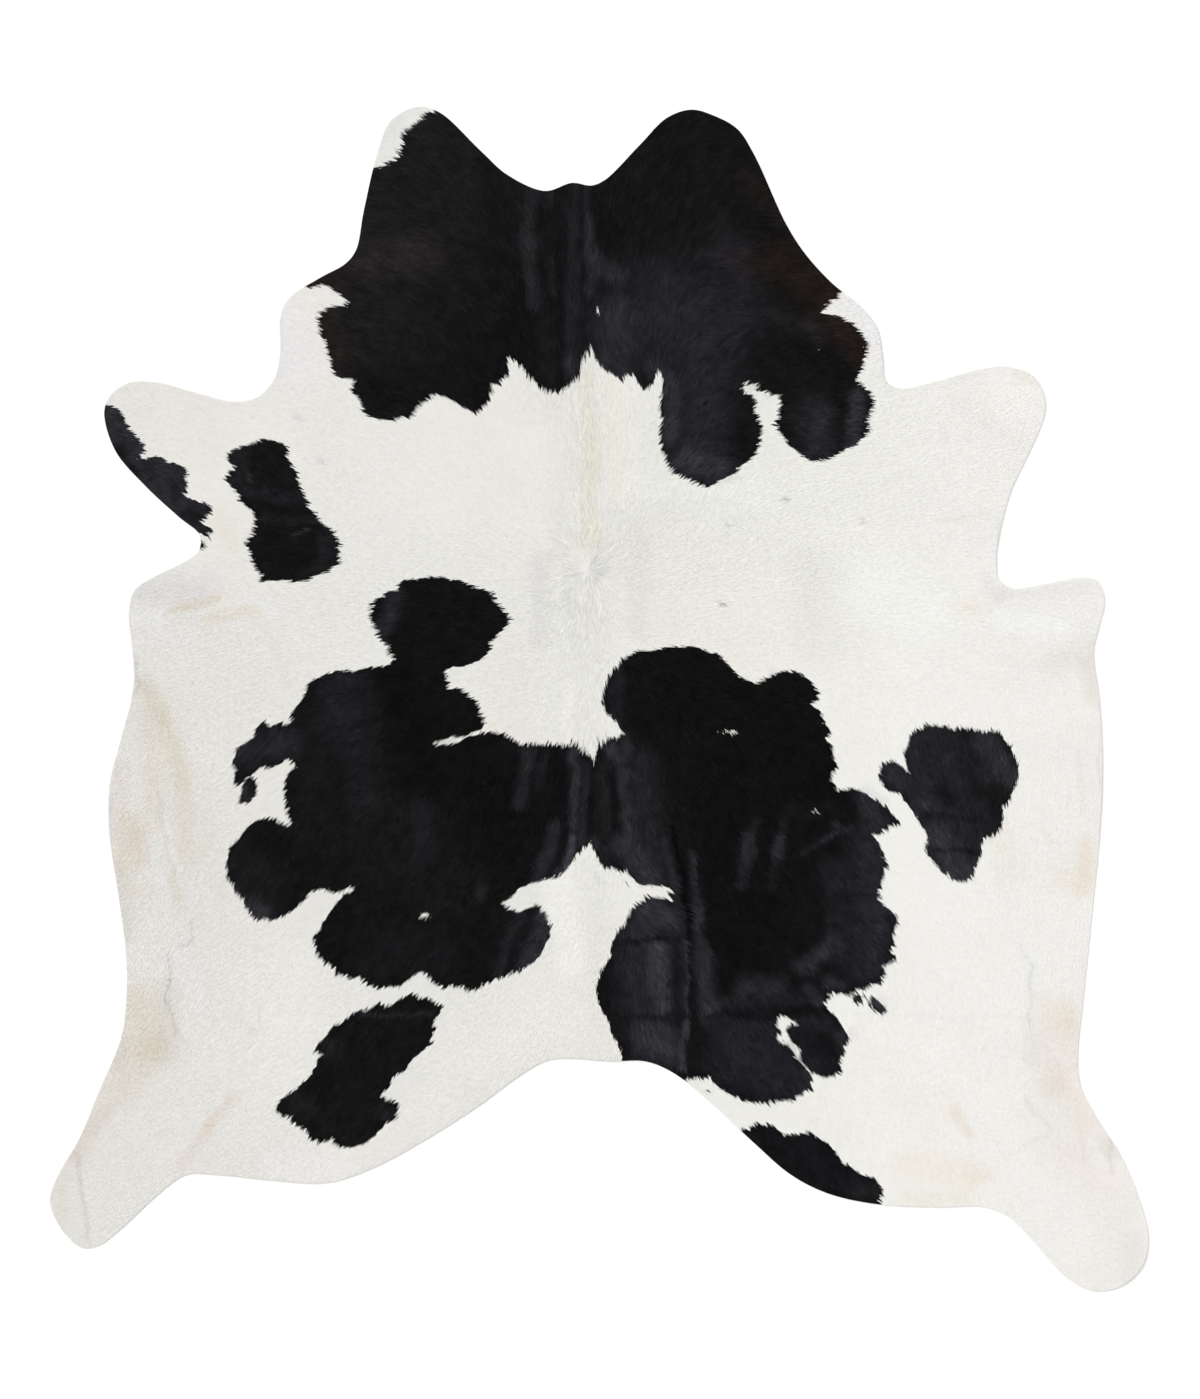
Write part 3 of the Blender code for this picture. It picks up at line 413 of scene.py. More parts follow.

# Stains, tones, painted shade and painted sheen of the white, each added as a soft stroke; the thin
# dark lines are painted shade in creases and folds: (across cm, along cm, to across cm, to along cm,
# reach cm, red change, green change, blue change).
WHITE_STAIN_SHADE_AND_SHEEN_STROKES = (
    # back line of the neck
    (-2.1, 57.6, -2.1, 27.3, 2.2, 0, -3, -8), (-0.4, 51.7, -1, 28.5, 0.9, -1, -2, -5),
    (-8, 56.3, -7.6, 36.9, 4.1, -1, -2, -4), (3.1, 56.3, 4.2, 36.9, 4.4, 1, 1, -2),
    (-22.1, 51.7, -18.4, 31.3, 11.1, 0, -1, -3),
    # whorl, with painted shade in the hollows round it and a lighter line between
    (-10.8, 24.8, -10.6, 11, 3, -6, -6, -5), (6.8, 30.4, 6.4, 12.8, 3.7, -5, -5, -4),
    (-7.8, 34.1, -6.1, 27.6, 3, -4, -4, -3), (-7.1, 23, -6.1, 11, 1.1, 4, 4, 4),
    (-1.5, 24.3, -0.6, 22.6, 0.9, -16, -16, -14), (-3, 23.4, 0.1, 23.7, 1.7, -6, -6, -5),
    (-5.6, 20.2, -5, 18.4, 0.6, -12, -12, -10),
    # back line of the body
    (-5.2, 2.6, -5.2, -8.5, 1.9, 6, 5, 4), (-15.6, 6.3, -17.4, -2.9, 8.3, 1, 0, -2),
    (11.2, 22.1, 26, 14.7, 13.9, 0, -1, -3), (-7.3, -33.4, -5, -48.2, 4.8, 8, 8, 8),
    (-1.7, -44.5, 0.1, -63, 6.7, -1, -2, -3), (-11, -55.6, -22.1, -64.9, 11.1, 3, 2, 0),
    # left foreleg
    (-55.4, 52, -54.8, 51.5, 0.9, -12, -12, -9), (-51.1, 44.1, -50.5, 43.7, 0.9, -14, -13, -7),
    (-63.9, 52.4, -63.7, 52, 0.6, -8, -8, -7), (-69.2, 33.2, -67.9, 28.5, 3.3, -1, -3, -6),
    # left elbow
    (-83.8, 20.2, -72.7, 20.6, 4.8, -6, -6, -2), (-85.7, 16.2, -81.3, 15, 3, 3, 4, 7),
    (-77.9, 17.1, -69.8, 18.9, 1.7, -5, -9, -15), (-72, 15.4, -63.1, 16.5, 1.7, -3, -6, -11),
    (-79.8, 16.5, -73.9, 17.6, 0.7, -6, -7, -8), (-83.1, 11.7, -75.7, 11, 2.6, 1, 1, 4),
    (-63.7, 18.4, -59.4, 17.3, 2.2, 0, 1, 4), (-61.5, 14.7, -57.9, 6.5, 1.1, -3, -4, -5),
    # left flank, with painted shade and painted light along a fold
    (-83.7, 3, -80.1, -2.9, 2.8, -8, -11, -17), (-83.1, -3.8, -81.3, -22.3, 3.3, -3, -5, -8),
    (-79.8, -5.3, -76.8, -14, 3, -6, -9, -16), (-76.4, -16.8, -75.3, -27.9, 3.3, -3, -6, -10),
    (-86.4, -22.3, -87, -29.7, 3.7, -6, -10, -16), (-88.7, -12.2, -88.3, -19.6, 3, -3, -5, -7),
    (-71.3, -22.3, -70.9, -27.9, 2.6, -1, -3, -4), (-81.3, -16.2, -79.8, -21, 0.6, -8, -9, -10),
    (-79.8, -21, -77.2, -31.9, 0.6, 5, 5, 5), (-80.7, -20.8, -78.1, -31.9, 0.6, -6, -7, -8),
    (-83.1, -0.1, -73.9, -37.1, 11.1, -3, -3, -3),
    # left hind leg, with painted shade in its creases
    (-86.1, -34.4, -83.8, -35.6, 3, -3, -5, -8), (-78.3, -32.5, -77.2, -38.1, 2.2, -3, -6, -10),
    (-70.2, -33.4, -69, -35.3, 3, -1, -3, -4), (-85, -56.4, -82.7, -63, 7, -7, -11, -17),
    (-83.1, -64.9, -88.3, -72.3, 5.5, -5, -8, -11), (-91.6, -76, -96.8, -83.7, 3.3, -6, -10, -13),
    (-79.8, -46.4, -79.4, -51.9, 0.6, -14, -15, -10), (-79.4, -51.9, -80, -55.3, 0.6, -16, -17, -13),
    (-80, -55.3, -77.9, -61.2, 0.6, -13, -14, -12), (-74.6, -40.5, -75.1, -44.2, 0.6, -12, -13, -10),
    (-75.1, -44.2, -77.9, -45.3, 0.5, -10, -10, -8), (-76.8, -46.4, -73.9, -55.6, 3.3, 1, 2, 5),
    (-63.7, -60.4, -63.5, -61.4, 0.9, -9, -9, -6), (-62, -56.4, -62.4, -58.2, 0.6, -7, -7, -5),
    (-55, -56.7, -54.8, -57.1, 0.6, -6, -6, -5), (-67.2, -73, -71.6, -78.6, 1.9, -5, -9, -12),
    (-71.6, -78.6, -76.8, -85.6, 1.9, -3, -6, -8), (-96.4, -83.4, -95.3, -88.9, 0.6, -12, -14, -14),
    (-95.3, -88.9, -94, -100.6, 0.6, -11, -12, -11), (-98.6, -87.1, -99, -95.4, 2.6, -3, -4, -6),
    (-81.3, -80, -78.3, -79.3, 0.5, -10, -9, -7),
    # left rump
    (-57.2, -48.2, -57.2, -66.7, 9.2, 4, 4, 4), (-59.1, -86.2, -48, -86.2, 5.5, 4, 4, 6),
    (-46.1, -85.2, -29.5, -76, 7.4, 3, 2, 1),
    # right foreleg
    (63, 49.6, 63.2, 49.3, 0.9, -5, -5, -4), (63.2, 47.6, 63.4, 47.4, 0.7, -6, -6, -5),
    (71.4, 50.7, 71.6, 49.8, 0.9, -6, -6, -5), (67.7, 48.7, 67.9, 48.3, 0.7, -5, -5, -4),
    (59, 48, 59.2, 47.8, 0.7, -4, -4, -3), (70.4, 55, 70.8, 50.9, 0.9, -2, -1, -5),
    (61.8, 32.6, 66.7, 33.5, 0.7, -5, -5, -6), (66.7, 33.5, 72.7, 34.8, 0.7, -4, -4, -5),
    (68.2, 28.5, 71.6, 29.8, 0.9, -3, -3, -3), (74.1, 57.2, 80.8, 53.9, 7.4, 5, 5, 5),
    (77.8, 59.8, 80.4, 58.3, 2.2, -2, -4, -7),
    # right elbow, with a painted bluish sheen
    (37.1, 23.9, 37.1, 9.1, 5.2, -3, -3, -3), (49.7, 20.2, 60.3, 16.5, 8.5, 2, 3, 3),
    (65.3, 17.3, 69.7, 17.3, 2.6, 0, -3, -7), (72.7, 18.7, 75.3, 20.2, 1.7, -8, -8, -7),
    (71.4, 22.4, 71.9, 20.2, 1.9, -5, -5, -4), (77.8, 20.2, 88.9, 21, 2.2, -4, -4, -3),
    (74.1, 15, 85.2, 13.9, 3.7, 3, 4, 7), (83.4, 7.3, 90.4, 9.5, 3.7, -6, -7, -8),
    (89.9, 6.9, 90.8, 1.7, 3, -6, -8, -10), (74.1, 8.2, 85.2, 4.3, 1.1, -2, -2, -2),
    # right flank
    (90.1, -26.4, 89.3, -34.2, 2.6, -3, -9, -16), (85.2, -31.6, 88, -35.3, 3, -1, -3, -6),
    (74.1, -22.7, 75.6, -31.9, 4.1, -1, -3, -6), (88.6, -9.4, 88.9, -14, 0.9, -3, -4, -3),
    (89.3, -14.6, 89.5, -19.7, 0.9, -2, -5, -5), (87.1, -16.8, 86.7, -19.7, 0.6, -3, -4, -4),
    (81.9, -23.4, 84.1, -25.7, 0.9, -4, -4, -4),
    # right hind leg, with painted shade in its creases
    (81.5, -55.6, 85.6, -59.3, 4.1, -3, -6, -10), (86.4, -56.6, 88.2, -66.7, 3.3, -4, -7, -11),
    (82.3, -61.2, 83.4, -70.4, 4.4, -4, -7, -9), (84.9, -69.5, 90.1, -77.8, 4.4, -2, -6, -9),
    (77.8, -44.7, 80.1, -48.6, 0.6, -7, -6, -2), (80.1, -48.6, 79.3, -52.7, 0.6, -13, -11, -3),
    (79.3, -52.7, 79.1, -59, 0.6, -9, -9, -7), (79, -59.3, 79.7, -66, 2.6, -4, -5, -7),
    (78.4, -73, 82.7, -78.9, 0.6, -6, -7, -6), (74.1, -84.1, 82.7, -79.9, 0.6, -5, -5, -5),
    (88.6, -77.8, 89.7, -85.2, 0.7, -3, -6, -7), (93.9, -81, 94.7, -87.4, 0.7, -8, -12, -14),
    (85.2, -83.4, 92.6, -88.9, 6.3, 0, -3, -4), (94.9, -94.5, 95.6, -103.7, 6.3, -2, -3, -3),
    (89.9, -105.6, 92.6, -107.4, 4.4, -1, -2, -3),
    # right thigh
    (65.3, -75.2, 67.9, -80, 1.7, -5, -9, -13), (63, -71.4, 64.9, -76.3, 2.2, 0, -2, -5),
    (56.6, -86.2, 67.7, -87.1, 5.2, -2, -5, -9), (58.4, -74.1, 61.2, -81.5, 5.5, 0, -2, -4),
    (55.6, -91.9, 66.7, -91.9, 2.6, -3, -5, -9), (68.2, -88.9, 71.2, -87.4, 2.2, -1, -4, -7),
    # storage folds, as painted shade along their creases and painted light beside them
    (46.4, -57.8, 83.4, -58.6, 0.7, -3, -3, -3), (7.5, 38.7, 29.7, 36.9, 4.8, 3, 4, 4),
    (5.3, 35.9, 26, 36.1, 0.6, -3, -3, -3), (5.3, 32.8, 29.7, 33.2, 0.6, -2, -2, -2),
    # edges, mostly darker: painted shade along the borders of the patches and along the cut edge
    (34.9, -63.4, 35.5, -64, 1.9, -28, -26, -25), (27.5, 58, 27.7, 56.1, 1.5, -13, -14, -11),
    (-28.7, -7.7, -26.7, -7.3, 1.5, -12, -12, -11), (48.4, -16.4, 52.7, -18.8, 1.5, -12, -12, -10),
    (-88.8, -63, -88.8, -66.4, 3.3, -8, -10, -13), (-89, -31.9, -87.2, -42.3, 3.7, -8, -9, -9),
    (-84.4, -24.5, -84.2, -29.4, 2.6, -4, -8, -11), (93.8, -81.5, 94.5, -82.6, 3.7, -7, -9, -10),
    (51.8, -55.3, 51.9, -56, 1.7, -9, -9, -8), (-79.4, -54.7, -78.7, -64.5, 4.4, -7, -7, -8),
    (16.8, 40.2, 24.2, 40.6, 1.5, -9, -9, -8), (31.2, 56.9, 31.2, 55.7, 1.5, -9, -9, -7),
    (-30.2, 55.9, -29.5, 55.7, 1.5, -9, -8, -8), (30.9, 5.2, 31, 4.5, 1.5, -9, -9, -7),
    (45.8, -60.8, 46, -61.5, 1.5, -8, -8, -7), (39.9, 25.8, 41.2, 9.1, 6.3, -3, -3, -3),
    (51.9, 20.2, 55.6, 11, 8.5, 2, 2, 2), (82.5, -76, 85.2, -81.5, 9.2, -4, -4, -5),
    (-85.5, 8.2, -85, 3.6, 0.6, -14, -15, -11), (-85, 3.6, -86.2, 0.6, 0.6, -12, -13, -10),
    (-90.1, -17.7, -89.6, -38.1, 0.7, -8, -9, -5), (92.5, -0.1, 92.8, -31.6, 0.7, -6, -6, -3),
    (-38.7, 103.5, -33.5, 109.4, 2.2, -5, -4, -1), (-56.5, 72.8, -55, 59.1, 4.1, 1, 1, 5),
    (45.3, 73.1, 50.1, 66.5, 3.3, 0, 0, 4), (98.2, -100, 98.2, -106.5, 3.7, -5, -5, -5),
    (-58.3, 72.9, -57.9, 59.4, 0.9, -4, -4, 1), (51.2, 71.1, 53.1, 56.9, 1.1, -5, -4, 0),
    (73.4, 33.2, 74.5, 21.1, 0.9, -7, -6, -2),
    # grey spots
    (-0.6, -32.1, 0, -33.8, 0.9, -10, -9, -7), (33.4, 37.1, 33.8, 36.9, 0.8, -38, -38, -34),
    (21.2, 17.4, 22.2, 17.4, 0.6, -48, -47, -43), (47.5, 33.5, 47.7, 32.4, 0.7, -19, -19, -17),
    (23.1, 31.7, 23.5, 31.9, 0.6, -20, -20, -18),
)

# Tones, painted sheen and painted shade of the black, each laid over those before it as a soft
# stroke: the lighter, bluish strokes are painted highlights where the hair catches the light, the thin
# dark lines painted shade in the folds of the hide, the brownish ones the hair's own colour: (across cm,
# along cm, to across cm, to along cm, reach cm, red, green, blue).
BLACK_TONE_SHEEN_AND_SHADE_STROKES = (
    # neck saddle
    (-48, 68.3, -27.6, 97.9, 31.4, 26, 25, 26), (7.5, 101.6, 18.6, 96.1, 22.2, 21, 20, 21),
    (12.2, 70.5, 19.6, 67.4, 17.6, 36, 35, 39), (19.4, 85.7, 26.4, 79.1, 6.7, 33, 31, 34),
    (3.8, 89.6, 17.2, 87.2, 7, 20, 20, 20), (2.9, 69.2, 2.4, 59.4, 6.7, 41, 40, 45),
    (18.6, 55.7, 19, 50.7, 8.9, 37, 36, 41), (10.1, 60.6, 12.7, 56.3, 2.8, 42, 41, 46),
    (12.7, 56.3, 12.7, 48.3, 2.8, 47, 46, 51), (15.7, 43.5, 20.9, 42.4, 5.9, 50, 49, 54),
    (26.4, 54.4, 27.5, 48, 3.7, 21, 21, 22), (-47, 94.2, -51.3, 75.7, 8.9, 33, 28, 28),
    (-42, 80.9, -31.3, 81.6, 6.3, 37, 34, 35), (-50.5, 69.8, -48.3, 62.4, 4.8, 33, 27, 26),
    (-41.3, 56.9, -35, 55.4, 5.9, 17, 17, 17), (-17.4, 101.6, -18.4, 75.7, 5.5, 19, 19, 19),
    (32, 80.9, 42, 73.9, 7.4, 31, 25, 22), (26.4, 95, 35.3, 86.5, 3.7, 28, 24, 23),
    (32.5, 70.5, 39.4, 67.6, 4.1, 31, 29, 30), (43.1, 69.8, 48.2, 62.8, 4.8, 34, 27, 26),
    (29.2, 62.8, 39.4, 58.7, 5.2, 20, 20, 21), (34.2, 56.9, 35.3, 50.7, 3.3, 21, 21, 21),
    (-9.1, 88.3, -9.5, 68.3, 2.2, 19, 19, 19), (-12.1, 94.2, -12.8, 85, 2, 34, 33, 37),
    (-12.8, 85, -12.1, 71.7, 2, 34, 33, 37), (-9.3, 93.9, -9.1, 89.8, 1.1, 32, 31, 35),
    (-4.8, 94.2, -4.8, 68.3, 2, 31, 30, 34), (-2.1, 94.2, -2.1, 87.7, 1.3, 31, 30, 34),
    (-1.7, 87.7, -1.3, 73.9, 1.7, 38, 37, 42), (-1.3, 80.5, 2.7, 77.2, 3.3, 40, 39, 44),
    (-4.7, 73.9, -4.5, 57.2, 2.8, 31, 30, 34), (-5.6, 61.7, -5.4, 58.7, 1.5, 40, 39, 43),
    (-10.4, 67.4, -9.3, 58.7, 2.6, 24, 24, 25), (-8.7, 79.8, -8.5, 73.5, 1.1, 27, 26, 28),
    (21.6, 64.3, 23.8, 66.8, 0.6, 24, 24, 26), (23.8, 62.4, 26.4, 65.7, 0.6, 23, 23, 25),
    (25.7, 66.1, 27.5, 68.7, 0.6, 23, 23, 25), (39.4, 52.8, 39.4, 46.9, 5.4, 40, 39, 44),
    (47.5, 56.1, 45.8, 46.9, 2.8, 47, 46, 50),
    # left foreleg
    (-90.1, 53.2, -75.7, 35, 12.9, 42, 41, 46), (-88.3, 46.5, -85.1, 41.1, 2, 23, 22, 24),
    (-83.1, 44.3, -81.6, 42.1, 2.4, 31, 30, 34), (-78.7, 40.2, -78.1, 38, 1.7, 31, 30, 34),
    (-75.3, 33.4, -73.5, 32.8, 2, 26, 25, 28),
    # left shoulder
    (-62.8, 42.4, -55.4, 25.8, 18.5, 19, 19, 20), (-66.8, 46.9, -66.5, 40.2, 3.7, 28, 27, 30),
    (-64.2, 38, -53.1, 36.9, 1.7, 28, 27, 30), (-60.9, 35.4, -51.3, 34.8, 1.1, 17, 17, 17),
    (-61.3, 33.4, -50.2, 32.6, 1.5, 27, 26, 29), (-57.6, 26.7, -55.4, 25.8, 6.3, 17, 17, 17),
    (-49.4, 30.4, -50.4, 24.3, 2.6, 29, 28, 31), (-55.4, 30.6, -53.1, 31, 0.6, 40, 40, 42),
    (-64.2, 40.9, -63.9, 39.8, 0.6, 42, 42, 44), (-54.2, 23.2, -52, 23.6, 2.2, 24, 24, 26),
    # left round patch
    (-37.2, 19.9, -39.8, 11, 2.8, 38, 37, 42),
    # left of the back line
    (-48, -11.2, -31.3, -27.9, 24.1, 22, 22, 23), (-47, 1.7, -46.5, -3.8, 7.8, 30, 29, 34),
    (-43.5, -0.1, -43.1, -16.8, 4.8, 27, 26, 29), (-49.8, -22.3, -48.3, -29.7, 4.8, 20, 20, 21),
    (-35.9, 2.6, -32.2, -13.1, 7.8, 14, 14, 14), (-22.1, -12.2, -18.4, -25.1, 11.5, 15, 15, 15),
    (-32.4, -20.1, -31.9, -27.9, 3.1, 28, 27, 31), (-65.5, -9, -58.1, -7.2, 5.5, 36, 35, 39),
    (-65, -16, -65, -18.3, 2.6, 40, 39, 42), (-66.5, -29.4, -60.9, -33.4, 6.3, 26, 25, 26),
    (-63.5, -38.6, -62.4, -39.3, 4.1, 48, 47, 51), (-66.6, -34.4, -65.9, -36.4, 1.7, 36, 35, 39),
    (-54.8, -28.8, -51.7, -33.4, 4.1, 19, 19, 20), (-50.7, -43.6, -47, -46.4, 5.5, 17, 17, 18),
    (-40.6, -47.3, -29.5, -47.3, 8.5, 23, 23, 25), (-23.9, -44.5, -21.7, -48.6, 5.2, 19, 19, 20),
    (-21.5, -34.2, -21.7, -36.8, 1.9, 33, 32, 36), (-8.7, -39.3, -13.2, -49.7, 3.7, 45, 44, 49),
    (-12.8, -35.6, -18, -49.3, 2.2, 32, 31, 35), (-12.1, -38.2, -16.5, -48.2, 1.1, 22, 22, 23),
    (-15.8, -44.2, -9.3, -44.5, 0.6, 26, 25, 28), (-12.8, -8.6, -14.5, -18.3, 2.2, 35, 34, 38),
    (-10, -10.5, -11, -14.9, 1.9, 27, 26, 29), (-8.4, -22.7, -11, -33.4, 2.2, 37, 36, 41),
    (-4.3, -8.5, -5, -22.3, 1.7, 44, 43, 48), (-5, -24.5, -6.7, -31.9, 1.5, 56, 55, 61),
    (-7.6, -31.2, -6.9, -33.4, 1.3, 40, 39, 44), (-7.6, -16.8, -7.3, -25.7, 0.4, 20, 20, 21),
    (-2.4, -11.2, -3.6, -27, 1.5, 35, 34, 38), (-0.4, -13.1, -0.2, -22.3, 1.1, 24, 24, 25),
    (-1.3, -25.7, -0.6, -27.1, 1.5, 40, 39, 43),
    # right of the back line
    (16.8, 1.7, 37.1, -11.2, 18.5, 15, 15, 15), (2.9, 5.8, 2.6, -3.1, 2.2, 29, 28, 31),
    (7.5, -12.2, 8.3, -31.2, 6.3, 33, 32, 36), (0.9, -11.6, 0.9, -30.1, 1.7, 28, 28, 30),
    (2, -8.3, 3.8, -10.1, 2.6, 48, 47, 52), (4.6, -6.4, 5.3, -8.5, 1.9, 38, 37, 41),
    (4.2, -13.1, 5.3, -24.2, 1.9, 44, 43, 48), (4.2, -26.4, 9.4, -33.4, 3.7, 44, 43, 48),
    # right patch
    (25.1, -16.8, 23.3, -49.2, 12.6, 15, 15, 15), (49.7, -27.9, 49.7, -48.6, 7.4, 37, 36, 41),
    (49, -17.7, 50.1, -22.7, 4.1, 42, 41, 46), (43.4, -31.6, 44.5, -46.4, 4.8, 29, 28, 32),
    (42.7, -44.5, 37.5, -49, 3.3, 41, 40, 45), (41.6, -51.9, 43.8, -52.7, 2.4, 40, 39, 44),
    (52.7, -13.1, 53.1, -13.8, 2.4, 36, 35, 39), (37.1, -31.2, 38.3, -41.8, 5, 18, 18, 19),
    (34.4, -20.8, 41.8, -20.1, 2.2, 20, 20, 20), (37.1, -27.5, 40.5, -25.3, 0.6, 34, 33, 37),
    (40.5, -25.3, 46.4, -23.1, 1.1, 37, 36, 41), (42.7, -22.3, 44.2, -23.4, 1.5, 36, 35, 40),
    (28.3, -22, 25.7, -33.8, 1.7, 30, 29, 33), (27.2, -25.3, 26.4, -29, 2.2, 41, 40, 45),
    (47, -55.3, 48.6, -55.4, 1.5, 40, 40, 43), (50.1, -55.3, 52.3, -57.1, 1.9, 50, 49, 53),
    (33.6, -22.7, 31.4, -34.2, 1.3, 28, 27, 31), (32.9, -25.3, 32.2, -27.9, 1.7, 43, 42, 47),
    # rump, with painted shade in its folds and painted highlights beside them
    (7.5, -41.8, 8.5, -64, 8.5, 37, 36, 41), (12, -26, 13.5, -34.9, 1.7, 36, 35, 40),
    (9, -38.2, 13.5, -40.8, 3.7, 50, 49, 54), (10.3, -45.5, 11.6, -55.6, 3.1, 52, 51, 56),
    (8.3, -61.2, 12.5, -63.4, 4.8, 50, 49, 54), (3.5, -59.3, 4.2, -65.2, 3.3, 22, 22, 23),
    (26, -64.9, 36.2, -70.4, 12.2, 33, 32, 37), (27, -52.9, 32.3, -52.9, 4.1, 38, 37, 42),
    (44.2, -61.9, 45.3, -65.6, 2.4, 40, 39, 43), (38.3, -53.4, 39.7, -55.3, 2.4, 40, 39, 44),
    (19.8, -59.7, 41.8, -59.7, 2.6, 31, 30, 34), (20.9, -55.6, 37.1, -55.3, 1.7, 31, 30, 34),
    (16.8, -27.9, 17.9, -39.9, 1.3, 40, 39, 44), (17.2, -38.6, 18.3, -45.5, 2, 42, 41, 46),
    (13.7, -34.5, 14.2, -39.7, 1.1, 42, 41, 46), (18.8, -47.3, 20.1, -56.6, 3, 43, 42, 47),
    (14.9, -38.1, 15.7, -56.4, 1.9, 30, 29, 33), (13.3, -22.7, 15.5, -33.4, 0.6, 8, 8, 9),
    (15.3, -33.4, 15.9, -43.8, 0.7, 8, 8, 9), (15.9, -43.8, 16.4, -52.9, 0.6, 10, 10, 11),
    (15.7, -44.5, 16.2, -57.5, 0.6, 46, 45, 50), (2.4, -44.2, 14.2, -43.8, 0.7, 22, 22, 24),
    (1.3, -57.5, 16.8, -57.8, 0.7, 22, 22, 23), (19.8, -57.7, 34.4, -58, 0.7, 19, 18, 20),
    (15.7, -59, 15.1, -67.5, 1.1, 52, 51, 56), (10.3, -59.5, 12.7, -60.1, 1.1, 46, 45, 50),
    # right flank
    (60.3, -8.5, 67.1, -27.9, 15.7, 35, 34, 38), (54.4, -13.4, 54.9, -14.2, 3.3, 43, 42, 47),
    (71.4, -7.2, 76, -14, 4.4, 46, 45, 48), (70.3, -12.3, 71.2, -14.6, 1.7, 36, 35, 39),
    (62.7, -16, 64.9, -17.9, 2.4, 24, 23, 25), (70.4, -16, 73, -16.8, 2.4, 24, 24, 25),
    (57.9, -19, 62.1, -19.7, 1.9, 46, 45, 50), (60.3, -20.8, 74.1, -21.6, 0.7, 26, 26, 28),
    (62.7, -24.2, 64.9, -31.2, 3.3, 50, 49, 54), (65.8, -27.9, 67.9, -32.7, 3, 46, 45, 49),
    (61.9, -27.1, 69.7, -27.9, 0.7, 26, 26, 28),
    # left rump, with a painted highlight along a fold
    (-49.8, -76, -36.9, -61.2, 17.6, 20, 20, 20), (-48, -77.5, -43.9, -78.2, 6.3, 22, 22, 23),
    (-39.4, -75.6, -38.3, -76.3, 2.6, 30, 29, 32), (-43.5, -57.5, -30.7, -57.5, 0.7, 34, 33, 36),
    (-55.7, -74.1, -53.5, -75.6, 3.3, 28, 27, 29), (-50.5, -61.2, -49.6, -64.9, 2.6, 28, 27, 28),
    # right thigh
    (31.6, -82.5, 48.6, -90, 8.5, 22, 22, 24), (38.3, -81.9, 39, -84.5, 2.4, 25, 24, 27),
    (46.8, -90, 50.5, -90.8, 2.6, 30, 29, 31),
)


def linear(colour):
    """Screen colours from 0 to 255 as the linear light that shaders take."""
    share = np.clip(np.asarray(colour, float) / 255, 0, 1)
    return np.where(share <= 0.04045, share / 12.92, ((share + 0.055) / 1.055) ** 2.4)


# ---------------------------------------------------------------- fields over the hide

AREA_LOW = np.array(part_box("hide")[0])[:2] - AREA_MARGIN
AREA_HIGH = np.array(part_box("hide")[1])[:2] + AREA_MARGIN


class Field:
    """Values on an even grid over the hide, read between its points."""

    def __init__(self, cell, values):
        self.cell = cell
        self.values = values

    def at(self, points):
        """The values at these points, each blended from the four grid points round it."""
        rows, columns = self.values.shape[:2]
        column, row = ((points - AREA_LOW) / self.cell).T
        column = np.clip(column, 0, columns - LAST_CELL)
        row = np.clip(row, 0, rows - LAST_CELL)
        left, below = column.astype(int), row.astype(int)
        right_share, upper_share = column - left, row - below
        if self.values.ndim == 3:
            right_share, upper_share = right_share[:, None], upper_share[:, None]
        lower = self.values[below, left] * (1 - right_share)
        lower = lower + self.values[below, left + 1] * right_share
        upper = self.values[below + 1, left] * (1 - right_share)
        upper = upper + self.values[below + 1, left + 1] * right_share
        return lower * (1 - upper_share) + upper * upper_share


def grid_places(cell):
    """The grid's places, as rows and columns of (x, y)."""
    columns, rows = np.ceil((AREA_HIGH - AREA_LOW) / cell).astype(int) + 1
    across = AREA_LOW[0] + np.arange(columns) * cell
    along = AREA_LOW[1] + np.arange(rows) * cell
    return np.stack(np.meshgrid(across, along), axis=-1)


def depth_field(loops, cell, band):
    """How far inside closed loops each place is, up to the band's width, and below zero outside."""
    places = grid_places(cell)
    rows, columns = places.shape[:2]
    nearest = np.full((rows, columns), band)
    inside = np.zeros((rows, columns), bool)
    for loop in loops:
        crossings = np.zeros((rows, columns + 1), int)
        for start, end in zip(loop, np.roll(loop, -1, axis=0)):
            measure_edge(start, end, places, nearest, cell, band)
            count_crossings(start, end, crossings, cell)
        inside |= np.cumsum(crossings, axis=1)[:, :-1] % 2 == 1
    return Field(cell, np.where(inside, nearest, -nearest))


def measure_edge(start, end, places, nearest, cell, band):
    """Lowers the distances near one edge to the distance from it."""
    low = np.floor((np.minimum(start, end) - band - AREA_LOW) / cell).astype(int).clip(0)
    high = np.ceil((np.maximum(start, end) + band - AREA_LOW) / cell).astype(int).clip(0) + 1
    window = (slice(low[1], high[1]), slice(low[0], high[0]))
    along = end - start
    offset = places[window] - start
    share = np.clip(offset @ along / max(along @ along, 1e-18), 0, 1)
    distance = np.linalg.norm(offset - share[..., None] * along, axis=-1)
    nearest[window] = np.minimum(nearest[window], distance)


def count_crossings(start, end, crossings, cell):
    """Counts, for each row that an edge crosses, one crossing at the first place right of it."""
    lower, upper = (start, end) if start[1] < end[1] else (end, start)
    first, last = np.ceil((np.array([lower[1], upper[1]]) - AREA_LOW[1]) / cell).astype(int)
    rows = np.arange(max(first, 0), min(last, len(crossings)))
    if len(rows) == 0:
        return
    share = (AREA_LOW[1] + rows * cell - lower[1]) / (upper[1] - lower[1])
    across = lower[0] + share * (upper[0] - lower[0])
    column = np.ceil((across - AREA_LOW[0]) / cell).astype(int)
    crossings[rows, column.clip(0, crossings.shape[1] - 1)] += 1


